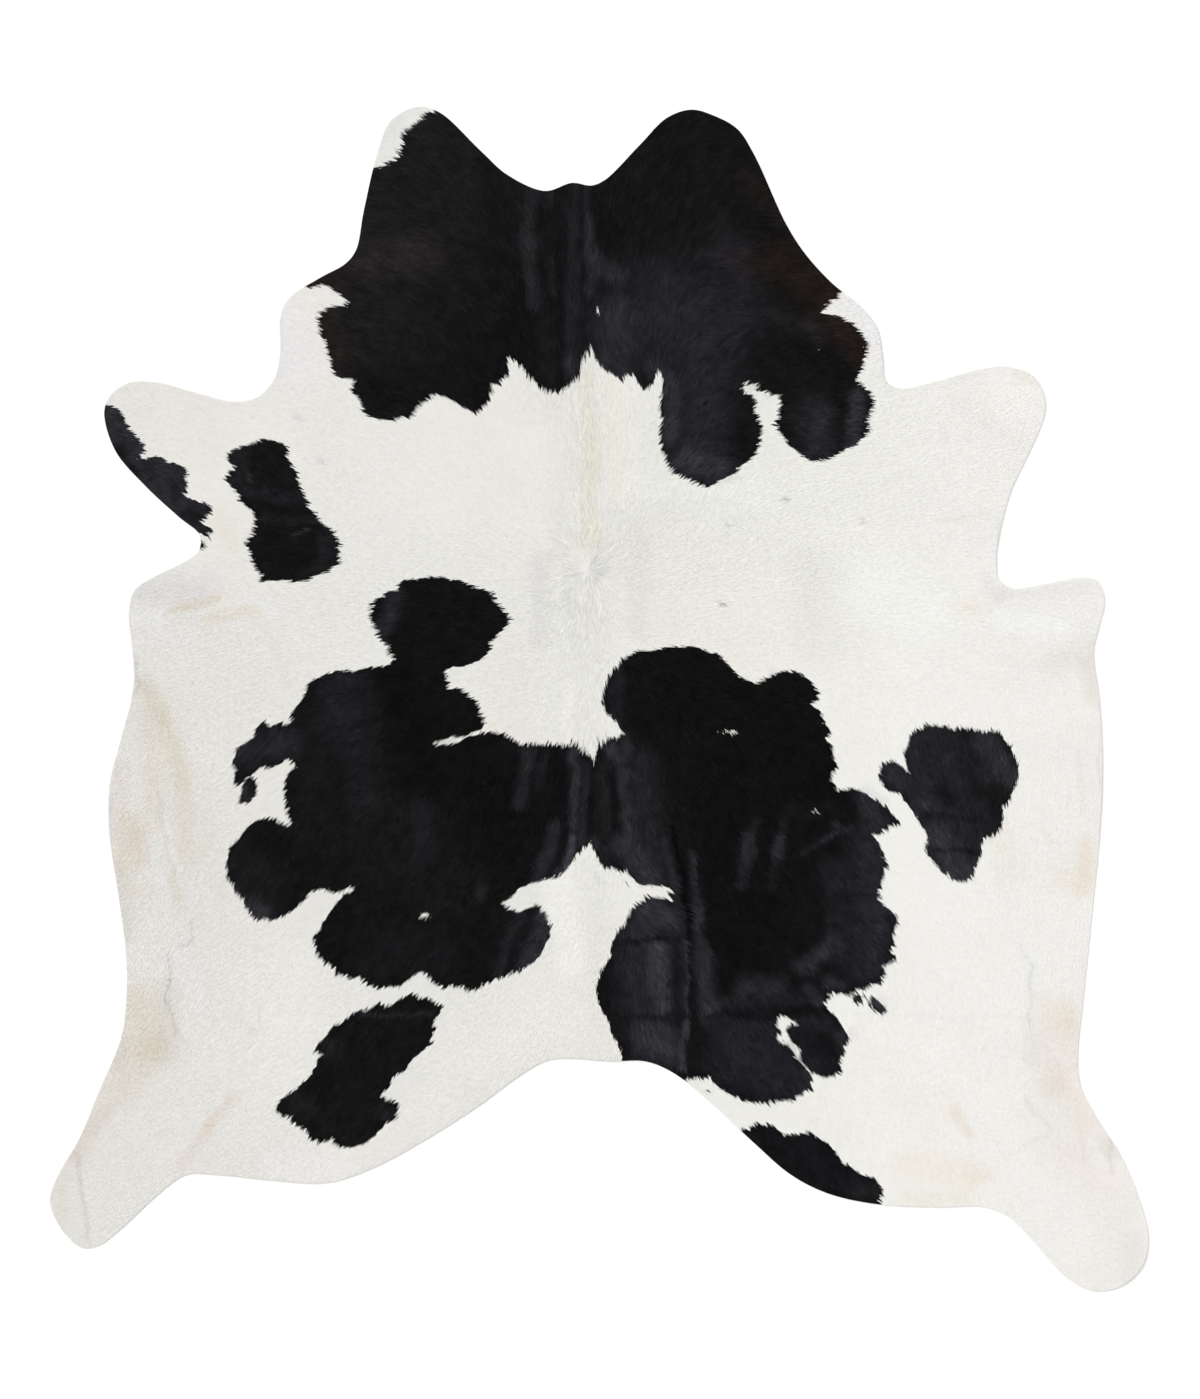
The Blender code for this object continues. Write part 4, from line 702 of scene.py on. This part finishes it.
def stroke_fade(points, across, along, to_across, to_along, reach):
    """1 near the line from one place to the other, fading out at its reach (centimetres)."""
    start = np.array((across, along))
    way = np.array((to_across, to_along)) - start
    offset = points / CM - start
    share = (offset @ way / max(way @ way, 1e-9)).clip(0, 1)
    distance = np.linalg.norm(offset - share[:, None] * way, axis=1) / reach
    fade = ((1 - distance) / (1 - STROKE_FLAT)).clip(0, 1)
    return (fade**2 * (3 - 2 * fade))[:, None]


def soft_noise(points, size, seed):
    """Smooth noise from -1 to 1, whose bumps are about this size, as one column."""
    columns, rows = np.ceil((AREA_HIGH - AREA_LOW) / size).astype(int) + 2
    values = np.random.default_rng(seed).uniform(-1, 1, (rows, columns))
    return Field(size, values).at(points)[:, None]


def oval(across, along, half_length, half_width, turn):
    """The loop of a small oval, its columns as in the table of flecks."""
    angles = np.linspace(0, 2 * math.pi, OVAL_POINTS, endpoint=False)
    cosine, sine = math.cos(math.radians(turn)), math.sin(math.radians(turn))
    longways, sideways = half_length * np.cos(angles), half_width * np.sin(angles)
    loop = np.stack([longways * cosine - sideways * sine, longways * sine + sideways * cosine], axis=1)
    return (loop + (across, along)) * CM


def patch_field():
    """How far inside the black each place is; below zero in the white."""
    loops = [np.array(points) * CM for _, points in PATCHES]
    black = depth_field(loops + [oval(*row) for row in SPOTS], BORDER_CELL, BORDER_BAND)
    white = depth_field([oval(*row) for row in FLECKS], BORDER_CELL, BORDER_BAND)
    return Field(BORDER_CELL, np.minimum(black.values, -white.values))


def flow_field():
    """The lie of the coat as unit vectors, blended from the directions in the table."""
    places = grid_places(FLOW_CELL)
    total = np.zeros_like(places)
    for across, along, turn in FLOW:
        offset = places / CM - (across, along)
        weight = 1 / ((offset**2).sum(axis=-1) + FLOW_SOFTNESS**2) ** 2
        direction = np.array([math.cos(math.radians(turn)), math.sin(math.radians(turn))])
        total += weight[..., None] * direction
    return Field(FLOW_CELL, total / np.linalg.norm(total, axis=-1, keepdims=True))


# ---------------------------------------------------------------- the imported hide


def cad_surface():
    """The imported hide's corners and triangles, with corners in the same place made one."""
    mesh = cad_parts["hide"].data
    mesh.calc_loop_triangles()
    points = np.empty(len(mesh.vertices) * 3)
    mesh.vertices.foreach_get("co", points)
    faces = np.empty(len(mesh.loop_triangles) * 3, int)
    mesh.loop_triangles.foreach_get("vertices", faces)
    keys = np.round(points.reshape(-1, 3) / WELD).astype(int)
    _, first, index = np.unique(keys, axis=0, return_index=True, return_inverse=True)
    return points.reshape(-1, 3)[first], index.reshape(-1)[faces].reshape(-1, 3)


def cad_rim(points, faces):
    """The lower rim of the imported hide, anticlockwise: its underside's edges along the cut edge."""
    near, mid, far = (points[faces[:, i]] for i in range(3))
    normals = np.cross(mid - near, far - near)
    rise = normals[:, 2] / np.linalg.norm(normals, axis=1)
    ends = np.stack([faces, np.roll(faces, -1, axis=1)], axis=-1)
    wall = {(end, start) for start, end in ends[abs(rise) < STEEP].reshape(-1, 2).tolist()}
    under = {tuple(edge) for edge in ends[rise < -STEEP].reshape(-1, 2).tolist()}
    following = dict(wall & under)
    first = min(following)
    loop = [first]
    while following[loop[-1]] != first:
        loop.append(following[loop[-1]])
    return points[loop[::-1], :2]


def smooth_loop(corners, step):
    """A closed Catmull-Rom curve through the corners, with points about a step apart."""
    before, after = np.roll(corners, 1, axis=0), np.roll(corners, -1, axis=0)
    beyond = np.roll(corners, -2, axis=0)
    steps = max(1, round(np.linalg.norm(after - corners, axis=1).mean() / step))
    bend = 2 * before - 5 * corners + 4 * after - beyond
    twist = 3 * corners - before - 3 * after + beyond
    points = []
    for t in np.arange(steps) / steps:
        points.append(corners + 0.5 * (after - before) * t + 0.5 * bend * t**2 + 0.5 * twist * t**3)
    return np.stack(points, axis=1).reshape(-1, 2)


def height_fields(points, faces):
    """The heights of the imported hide's hair side and underside, found from above and from below."""
    surface = BVHTree.FromPolygons(points.tolist(), faces.tolist())
    places = grid_places(HEIGHT_CELL)
    found = []
    for side in (1.0, -1.0):
        heights = np.full(places.shape[:2], np.nan)
        for row, column in np.ndindex(*heights.shape):
            x, y = places[row, column]
            place = surface.ray_cast(Vector((x, y, side)), Vector((0, 0, -side)))[0]
            if place is not None:
                heights[row, column] = place.z
        found.append(Field(HEIGHT_CELL, spread_outward(heights)))
    return found


def spread_outward(heights):
    """Gives the grid points past the rim the heights of those inside it."""
    for _ in range(math.ceil(AREA_MARGIN / HEIGHT_CELL)):
        padded = np.pad(heights, 1, constant_values=np.nan)
        near = np.stack([padded[:-2, 1:-1], padded[2:, 1:-1], padded[1:-1, :-2], padded[1:-1, 2:]])
        count = (~np.isnan(near)).sum(axis=0)
        mean = np.nansum(near, axis=0) / np.maximum(count, 1)
        heights = np.where(np.isnan(heights) & (count > 0), mean, heights)
    return np.nan_to_num(heights)


# ---------------------------------------------------------------- meshes


def new_piece(name, points, faces, material, plan=None):
    """A mesh object with a UV map laid over it from above, or over plan if that is given."""
    mesh = bpy.data.meshes.new(name)
    mesh.vertices.add(len(points))
    mesh.vertices.foreach_set("co", points.astype(np.float32).ravel())
    mesh.loops.add(faces.size)
    mesh.loops.foreach_set("vertex_index", faces.astype(np.int32).ravel())
    mesh.polygons.add(len(faces))
    mesh.polygons.foreach_set("loop_start", np.arange(len(faces), dtype=np.int32) * 3)
    mesh.update(calc_edges=True)
    plan = points[:, :2] if plan is None else plan
    low, high = plan.min(axis=0), plan.max(axis=0)
    layer = mesh.uv_layers.new(name="OFBake")
    layer.uv.foreach_set("vector", ((plan - low) / (high - low).max())[faces].astype(np.float32).ravel())
    mesh.materials.append(material)
    piece = bpy.data.objects.new(name, mesh)
    bpy.context.scene.collection.objects.link(piece)
    return piece


def set_colours(piece, name, colours):
    """Gives each corner of the mesh a colour."""
    rgba = np.ones((len(colours), 4), np.float32)
    rgba[:, :3] = colours
    layer = piece.data.attributes.new(name, "FLOAT_COLOR", "POINT")
    layer.data.foreach_set("color", rgba.ravel())


def staggered(spacing):
    """Places in staggered rows over the whole area, as rows and columns of (x, y)."""
    columns, rows = np.ceil((AREA_HIGH - AREA_LOW) / (spacing, spacing * ROW_SHARE)).astype(int) + 1
    row, column = np.indices((rows, columns))
    across = AREA_LOW[0] + (column + 0.5 * (row % 2)) * spacing
    return np.stack([across, AREA_LOW[1] + row * spacing * ROW_SHARE], axis=-1)


def triangulated(rim, inner):
    """Points and triangles of the flat sheet inside the rim, with the rim's points first."""
    plan = [Vector(point) for point in [*rim.tolist(), *inner.tolist()]]
    plan, _, triangles, *_ = delaunay_2d_cdt(plan, [], [list(range(len(rim)))], 1, 1e-6)
    return np.array([tuple(point) for point in plan]), np.array(triangles)


def leather_sheet(rim, rim_depth, under, material):
    """The skin without its hair: flesh side below, hair side above and the cut edge between them."""
    inner = staggered(LEATHER_STEP).reshape(-1, 2)
    inner = inner[rim_depth.at(inner) > LEATHER_RIM_GAP]
    plan, triangles = triangulated(rim, inner)
    count, round_rim = len(plan), np.arange(len(rim))
    height = under.at(plan)
    lower = np.column_stack([plan, height])
    upper = np.column_stack([plan, height + LEATHER])
    onward = np.roll(round_rim, -1)
    wall = np.concatenate([
        np.column_stack([round_rim, onward, onward + count]),
        np.column_stack([round_rim, onward + count, round_rim + count]),
    ])
    faces = np.concatenate([triangles + count, wall, triangles[:, ::-1]])
    map_plan = np.concatenate([plan, plan])
    map_plan[count + round_rim] += WALL_ON_MAP * rim_normals(rim)
    return new_piece("hide_leather", np.concatenate([lower, upper]), faces, material, map_plan)


def rim_normals(rim):
    """Unit vectors that point out of the hide along its anticlockwise rim."""
    along = np.roll(rim, -1, axis=0) - np.roll(rim, 1, axis=0)
    out = np.column_stack([along[:, 1], -along[:, 0]])
    return out / np.linalg.norm(out, axis=1, keepdims=True)


def undercoat_sheet(rim, rim_depth, patches, over, under, material):
    """The dense short hair under the locks, finer where a patch has its border."""
    coarse = staggered(UNDERCOAT_STEP).reshape(-1, 2)
    fine = staggered(BORDER_STEP).reshape(-1, 2)
    coarse = coarse[abs(patches.at(coarse)) > BORDER_REACH]
    fine = fine[abs(patches.at(fine)) <= BORDER_REACH]
    inner = np.concatenate([coarse, fine])
    inner = inner[rim_depth.at(inner) > BORDER_STEP]
    plan, triangles = triangulated(rim, inner)
    height = np.maximum(over.at(plan) - UNDERCOAT_BELOW, under.at(plan) + LEATHER + UNDERCOAT_LEAST)
    height[: len(rim)] = under.at(rim) + LEATHER + UNDERCOAT_AT_RIM
    piece = new_piece("undercoat", np.column_stack([plan, height]), triangles, material)
    set_colours(piece, "tint", coat_colours(plan, patches.at(plan) > 0))
    piece.data.shade_smooth()
    return piece


# ---------------------------------------------------------------- the coat


def coat_colours(points, black):
    """The coat's colour at these points, black or white with their tints, painted sheen and painted shade.
    """
    across = points[:, 0] / CM
    table = np.array(WHITE_ACROSS)
    white = np.stack([np.interp(across, table[:, 0], table[:, i]) for i in (1, 2, 3)], axis=1)
    wander = np.hstack([soft_noise(points, WANDER_SIZE, seed) for seed in WANDER_SEEDS])
    wandering = points + STROKE_WANDER * wander
    # adds the white's stains and tones, and its painted shade and painted sheen
    for *place, red, green, blue in WHITE_STAIN_SHADE_AND_SHEEN_STROKES:
        white += stroke_fade(wandering, *place) * (red, green, blue)
    white += WHITE_CLOUDS * soft_noise(points, WHITE_CLOUD_SIZE, WHITE_CLOUD_SEED)
    dark = np.full((len(points), 3), BLACK, float)
    # lays on the black's tones, its painted sheen and its painted shade
    for *place, red, green, blue in BLACK_TONE_SHEEN_AND_SHADE_STROKES:
        dark += stroke_fade(wandering, *place) * ((red, green, blue) - dark)
    clouds = 1 + BLACK_CLOUDS * soft_noise(points, BLACK_CLOUD_SIZE, BLACK_CLOUD_SEED)
    dark = np.maximum(linear(dark) * clouds - HAIR_GLOSS, BLACKEST)
    return np.where(black[:, None], dark, linear(white))


def nearest_clump(points, clumps, spacing):
    """For each point the row and column of the nearest of the jittered, staggered clumps."""
    rows, columns = clumps.shape[:2]
    home_row = np.round((points[:, 1] - AREA_LOW[1]) / (spacing * ROW_SHARE)).astype(int)
    home_column = np.round((points[:, 0] - AREA_LOW[0]) / spacing - 0.5 * (home_row % 2)).astype(int)
    best = np.full(len(points), np.inf)
    found = np.zeros((2, len(points)), int)
    for row_step in (-1, 0, 1):
        for column_step in (-1, 0, 1):
            row = (home_row + row_step).clip(0, rows - 1)
            column = (home_column + column_step).clip(0, columns - 1)
            distance = ((clumps[row, column] - points) ** 2).sum(axis=1)
            closer = distance < best
            best[closer] = distance[closer]
            found[:, closer] = row[closer], column[closer]
    return tuple(found)


def grow_locks(rim_depth, patches, flow, over):
    """Every lock as a slim triangle: its corners, its shading normal, whether it is black, its root
    and how light or dark it is."""
    rng = np.random.default_rng(SEED)
    roots = staggered(ROOT_SPACING)
    roots = (roots + rng.uniform(-ROOT_JITTER, ROOT_JITTER, roots.shape) * ROOT_SPACING).reshape(-1, 2)
    roots = roots[rim_depth.at(roots) > RIM_CLEAR]
    clumps = staggered(CLUMP_SPACING)
    clumps = clumps + rng.uniform(-CLUMP_JITTER, CLUMP_JITTER, clumps.shape) * CLUMP_SPACING
    home = nearest_clump(roots, clumps, CLUMP_SPACING)
    clump_bend = rng.normal(0, CLUMP_BEND, clumps.shape[:2])[home]
    clump_length = rng.uniform(*CLUMP_LENGTHS, clumps.shape[:2])[home]
    clump_rise = rng.uniform(*CLUMP_RISES, clumps.shape[:2])[home]
    count = len(roots)
    heading = flow.at(roots)
    turn = np.arctan2(heading[:, 1], heading[:, 0])
    turn += np.radians(clump_bend + rng.normal(0, LOCK_BEND, count))
    heading = np.column_stack([np.cos(turn), np.sin(turn)])
    side = np.column_stack([-heading[:, 1], heading[:, 0]])
    length = LOCK_LENGTH * clump_length * rng.uniform(*LOCK_LENGTHS, count)
    for _, *place, change in LENGTHS:
        length *= 1 + change * stroke_fade(roots, *place)[:, 0]
    ruffled = np.zeros(count)
    for _, *place, amount in RUFFLED:
        ruffled = np.maximum(ruffled, amount * stroke_fade(roots, *place)[:, 0])
    length *= 1 + RUFFLED_LENGTH * ruffled
    from_clump = roots - clumps[home]
    reach = heading * length[:, None]
    reach -= side * (CLUMPING * (from_clump * side).sum(axis=1))[:, None]
    for _ in range(2):  # shortens the locks that reach past the rim
        root_depth, tip_depth = rim_depth.at(roots), rim_depth.at(roots + reach)
        share = (root_depth - TIP_CLEAR) / np.maximum(root_depth - tip_depth, 1e-6)
        reach *= np.where(tip_depth < TIP_CLEAR, share.clip(SHORTEST, 1), 1)[:, None]
    tips = roots + reach
    border_shift = rng.normal(0, CLUMP_SHIFT, clumps.shape[:2])[home]
    judged = 0.5 * (roots + tips) - BORDER_CLUMPING * from_clump - heading * border_shift[:, None]
    black = patches.at(judged) + BLACK_OVER + rng.normal(0, LOCK_SHIFT, count) > 0
    half_width = 0.5 * LOCK_WIDTH * (1 + RUFFLED_WIDTH * ruffled) * rng.uniform(*LOCK_WIDTHS, count)
    width = np.minimum(half_width, WIDTH_LIMIT * np.linalg.norm(reach, axis=1))[:, None] * side
    roll = rng.uniform(-LOCK_ROLL, LOCK_ROLL, count)
    root_height = over.at(roots) - ROOT_BELOW * np.minimum(length / LOCK_LENGTH, 1)
    tip_height = over.at(tips) + TIP_ABOVE * clump_rise
    corners = np.empty((count, 3, 3))
    corners[:, 0, :2], corners[:, 0, 2] = roots + width, root_height + roll
    corners[:, 1, :2], corners[:, 1, 2] = roots - width, root_height - roll
    corners[:, 2, :2], corners[:, 2, 2] = tips, tip_height
    lean = rng.normal(0, 1, (count, 2)) * np.where(black, BLACK_GLINT, WHITE_GLINT)[:, None]
    normals = np.column_stack([side * lean[:, :1] + heading * (lean[:, 1:] - LOCK_LEAN), np.ones(count)])
    spread = np.where(black, BLACK_SPREAD, WHITE_SPREAD)
    lock_spread = spread + np.where(black, 0, RUFFLED_SPREAD * ruffled)
    shade = spread * rng.normal(0, 1, clumps.shape[:2])[home] + lock_spread * rng.normal(0, 1, count)
    return corners, normals, black, roots, 1 + shade


def locks_piece(name, corners, normals, colours, shades, material):
    """One mesh of many locks, with a map of their strands and a colour painted darker at the root, as shade,
    and lighter towards the tip.
    """
    points = corners.reshape(-1, 3)
    faces = np.arange(len(points)).reshape(-1, 3)
    piece = new_piece(name, points, faces, material)
    root_shade, tip_shade = shades
    fade = np.array([root_shade, root_shade, tip_shade])[None, :, None]
    set_colours(piece, "tint", (colours[:, None, :] * fade).reshape(-1, 3))
    strand = np.zeros((len(corners), 3, 3), np.float32)
    strand[:, :, 0] = np.arange(len(corners))[:, None] * STRAND_STEP + np.array([0, 1, 0.5])
    strand[:, :, 1] = np.array([0, 0, 1])
    layer = piece.data.attributes.new("strand", "FLOAT_VECTOR", "POINT")
    layer.data.foreach_set("vector", strand.ravel())
    normals = normals / np.linalg.norm(normals, axis=1, keepdims=True)
    piece.data.normals_split_custom_set_from_vertices(np.repeat(normals, 3, axis=0).tolist())
    return piece


# ---------------------------------------------------------------- materials


def new_material(name, roughness, shine):
    """A material, its node tree and its shader, with the shader's roughness and shine set."""
    material = bpy.data.materials.new(name)
    material.use_nodes = True
    shader = material.node_tree.nodes["Principled BSDF"]
    shader.inputs["Roughness"].default_value = roughness
    shader.inputs["Specular IOR Level"].default_value = shine
    return material, material.node_tree, shader


def add_node(tree, kind, inputs=(), **settings):
    """A new node with its settings and the values of its sockets."""
    node = tree.nodes.new(kind)
    for name, value in settings.items():
        setattr(node, name, value)
    for socket, value in inputs:
        node.inputs[socket].default_value = value
    return node


def noise_between(tree, coordinates, low, high, scale, detail):
    """Noise that runs from one grey to another."""
    noise = add_node(tree, "ShaderNodeTexNoise", (("Scale", scale), ("Detail", detail)))
    tree.links.new(coordinates, noise.inputs["Vector"])
    lowest, highest = NOISE_RANGE
    spread = add_node(tree, "ShaderNodeMapRange", (
        ("From Min", lowest), ("From Max", highest), ("To Min", low), ("To Max", high)))
    tree.links.new(noise.outputs["Fac"], spread.inputs["Value"])
    return spread.outputs["Result"]


def add_bump(tree, shader, height, strength, distance):
    """Raises the shader's surface by a height."""
    bump = add_node(tree, "ShaderNodeBump", (("Strength", strength), ("Distance", distance)))
    tree.links.new(height, bump.inputs["Height"])
    tree.links.new(bump.outputs["Normal"], shader.inputs["Normal"])


def coat_material(name, roughness, shine, streak, scale, depth, strands=True):
    """Hair: the tint of each place, streaked in colour and height along the strands, or by place."""
    material, tree, shader = new_material(name, roughness, shine)
    tint = add_node(tree, "ShaderNodeAttribute", attribute_name="tint")
    if strands:
        coordinates = add_node(tree, "ShaderNodeAttribute", attribute_name="strand").outputs["Vector"]
    else:
        coordinates = add_node(tree, "ShaderNodeTexCoord").outputs["Object"]
    streaks = noise_between(tree, coordinates, low=1 - streak, high=1 + streak, scale=scale, detail=2.0)
    paint = add_node(tree, "ShaderNodeVectorMath", operation="MULTIPLY")
    tree.links.new(tint.outputs["Color"], paint.inputs[0])
    tree.links.new(streaks, paint.inputs[1])
    tree.links.new(paint.outputs["Vector"], shader.inputs["Base Color"])
    add_bump(tree, shader, streaks, strength=0.6, distance=depth)
    return material


def leather_material():
    """Pale napped suede with soft blotches, for the flesh side and the cut edge."""
    material, tree, shader = new_material("leather", roughness=0.85, shine=0.2)
    place = add_node(tree, "ShaderNodeTexCoord").outputs["Object"]
    blotches = noise_between(tree, place, low=0.0, high=1.0, scale=9.0, detail=4.0)
    ramp = add_node(tree, "ShaderNodeValToRGB")
    ramp.color_ramp.elements[0].color = (*linear(SUEDE_DARK), 1)
    ramp.color_ramp.elements[1].color = (*linear(SUEDE_LIGHT), 1)
    tree.links.new(blotches, ramp.inputs["Fac"])
    nap = noise_between(tree, place, low=0.0, high=1.0, scale=420.0, detail=3.0)
    add_bump(tree, shader, nap, strength=0.5, distance=0.6 * MM)
    tree.links.new(ramp.outputs["Color"], shader.inputs["Base Color"])
    return material


# ---------------------------------------------------------------- camera, light and floor


def make_camera():
    """A camera straight above, as high as the photograph's frame needs."""
    data = bpy.data.cameras.new("camera")
    data.lens = CAMERA_LENS
    data.sensor_width = CAMERA_SENSOR
    camera = bpy.data.objects.new("camera", data)
    height = PHOTO_SIZE[1] * PHOTO_PIXEL * CAMERA_LENS / CAMERA_SENSOR
    camera.location = (*CAMERA_PLACE, height)
    bpy.context.scene.collection.objects.link(camera)
    bpy.context.scene.camera = camera


def make_light():
    """A broad softbox from the upper left, and an even white surrounding."""
    scene = bpy.context.scene
    scene.view_settings.view_transform = "Standard"
    scene.world = bpy.data.worlds.new("studio")
    scene.world.use_nodes = True
    scene.world.node_tree.nodes["Background"].inputs["Color"].default_value = (1, 1, 1, 1)
    scene.world.node_tree.nodes["Background"].inputs["Strength"].default_value = SKY_STRENGTH
    data = bpy.data.lights.new("softbox", "SUN")
    data.energy = SUN_STRENGTH
    data.angle = math.radians(SUN_SPREAD)
    light = bpy.data.objects.new("softbox", data)
    light.location = SUN_FROM
    light.rotation_euler = (-Vector(SUN_FROM)).to_track_quat("-Z", "Y").to_euler()
    scene.collection.objects.link(light)


def make_floor():
    """The white floor that the hide lies on."""
    material, tree, shader = new_material("floor", roughness=0.9, shine=0.1)
    place = add_node(tree, "ShaderNodeTexCoord").outputs["Object"]
    shade = noise_between(tree, place, low=0.99, high=1.0, scale=1.5, detail=2.0)
    paint = add_node(tree, "ShaderNodeVectorMath", (("Vector", linear(FLOOR_COLOUR)),), operation="MULTIPLY")
    tree.links.new(shade, paint.inputs[1])
    tree.links.new(paint.outputs["Vector"], shader.inputs["Base Color"])
    half = FLOOR_SIZE / 2
    corners = [(-half, -half), (half, -half), (half, half), (-half, half)]
    mesh = bpy.data.meshes.new("floor")
    mesh.from_pydata([(x, y, -FLOOR_BELOW) for x, y in corners], [], [(0, 1, 2, 3)])
    mesh.materials.append(material)
    floor = bpy.data.objects.new("floor", mesh)
    bpy.context.scene.collection.objects.link(floor)


# ---------------------------------------------------------------- the rug


def make_coat(rim_depth, patches, flow, over):
    """The locks of the whole coat, as a few pieces of one colour each."""
    corners, normals, black, roots, shade = grow_locks(rim_depth, patches, flow, over)
    colours = coat_colours(roots, black) * shade[:, None]
    black_hair = coat_material(
        "black_hair", roughness=0.42, shine=0.04, streak=0.25, scale=6.0, depth=0.1 * MM)
    white_hair = coat_material(
        "white_hair", roughness=0.6, shine=0.2, streak=0.03, scale=6.0, depth=0.04 * MM)
    kinds = (
        ("black", black, black_hair, BLACK_SHADES, ("neck", "back", "rump")),
        ("white", ~black, white_hair, WHITE_SHADES, ("neck", "shoulders", "flanks", "rump")),
    )
    pieces = []
    for kind, chosen, material, shades, places in kinds:
        order = np.flatnonzero(chosen)
        order = order[np.argsort(-roots[order, 1], kind="stable")]
        for place, part in zip(places, np.array_split(order, len(places))):
            name = f"coat_{kind}_{place}"
            piece = locks_piece(name, corners[part], normals[part], colours[part], shades, material)
            pieces.append(piece)
    return pieces


def make_rug():
    """The leather, the undercoat and the coat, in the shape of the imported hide."""
    points, faces = cad_surface()
    rim = smooth_loop(cad_rim(points, faces), RIM_STEP)
    rim_depth = depth_field([rim], BORDER_CELL, RIM_BAND)
    over, under = height_fields(points, faces)
    patches = patch_field()
    leather = leather_sheet(rim, rim_depth, under, leather_material())
    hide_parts("hide")
    fur = coat_material(
        "undercoat", roughness=0.7, shine=0.1, streak=0.04, scale=500.0, depth=0.1 * MM, strands=False)
    undercoat = undercoat_sheet(rim, rim_depth, patches, over, under, fur)
    coat = [undercoat, *make_coat(rim_depth, patches, flow_field(), over)]
    for piece in (leather, *coat):
        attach(piece, "root")


make_camera()
make_light()
make_floor()
make_rug()
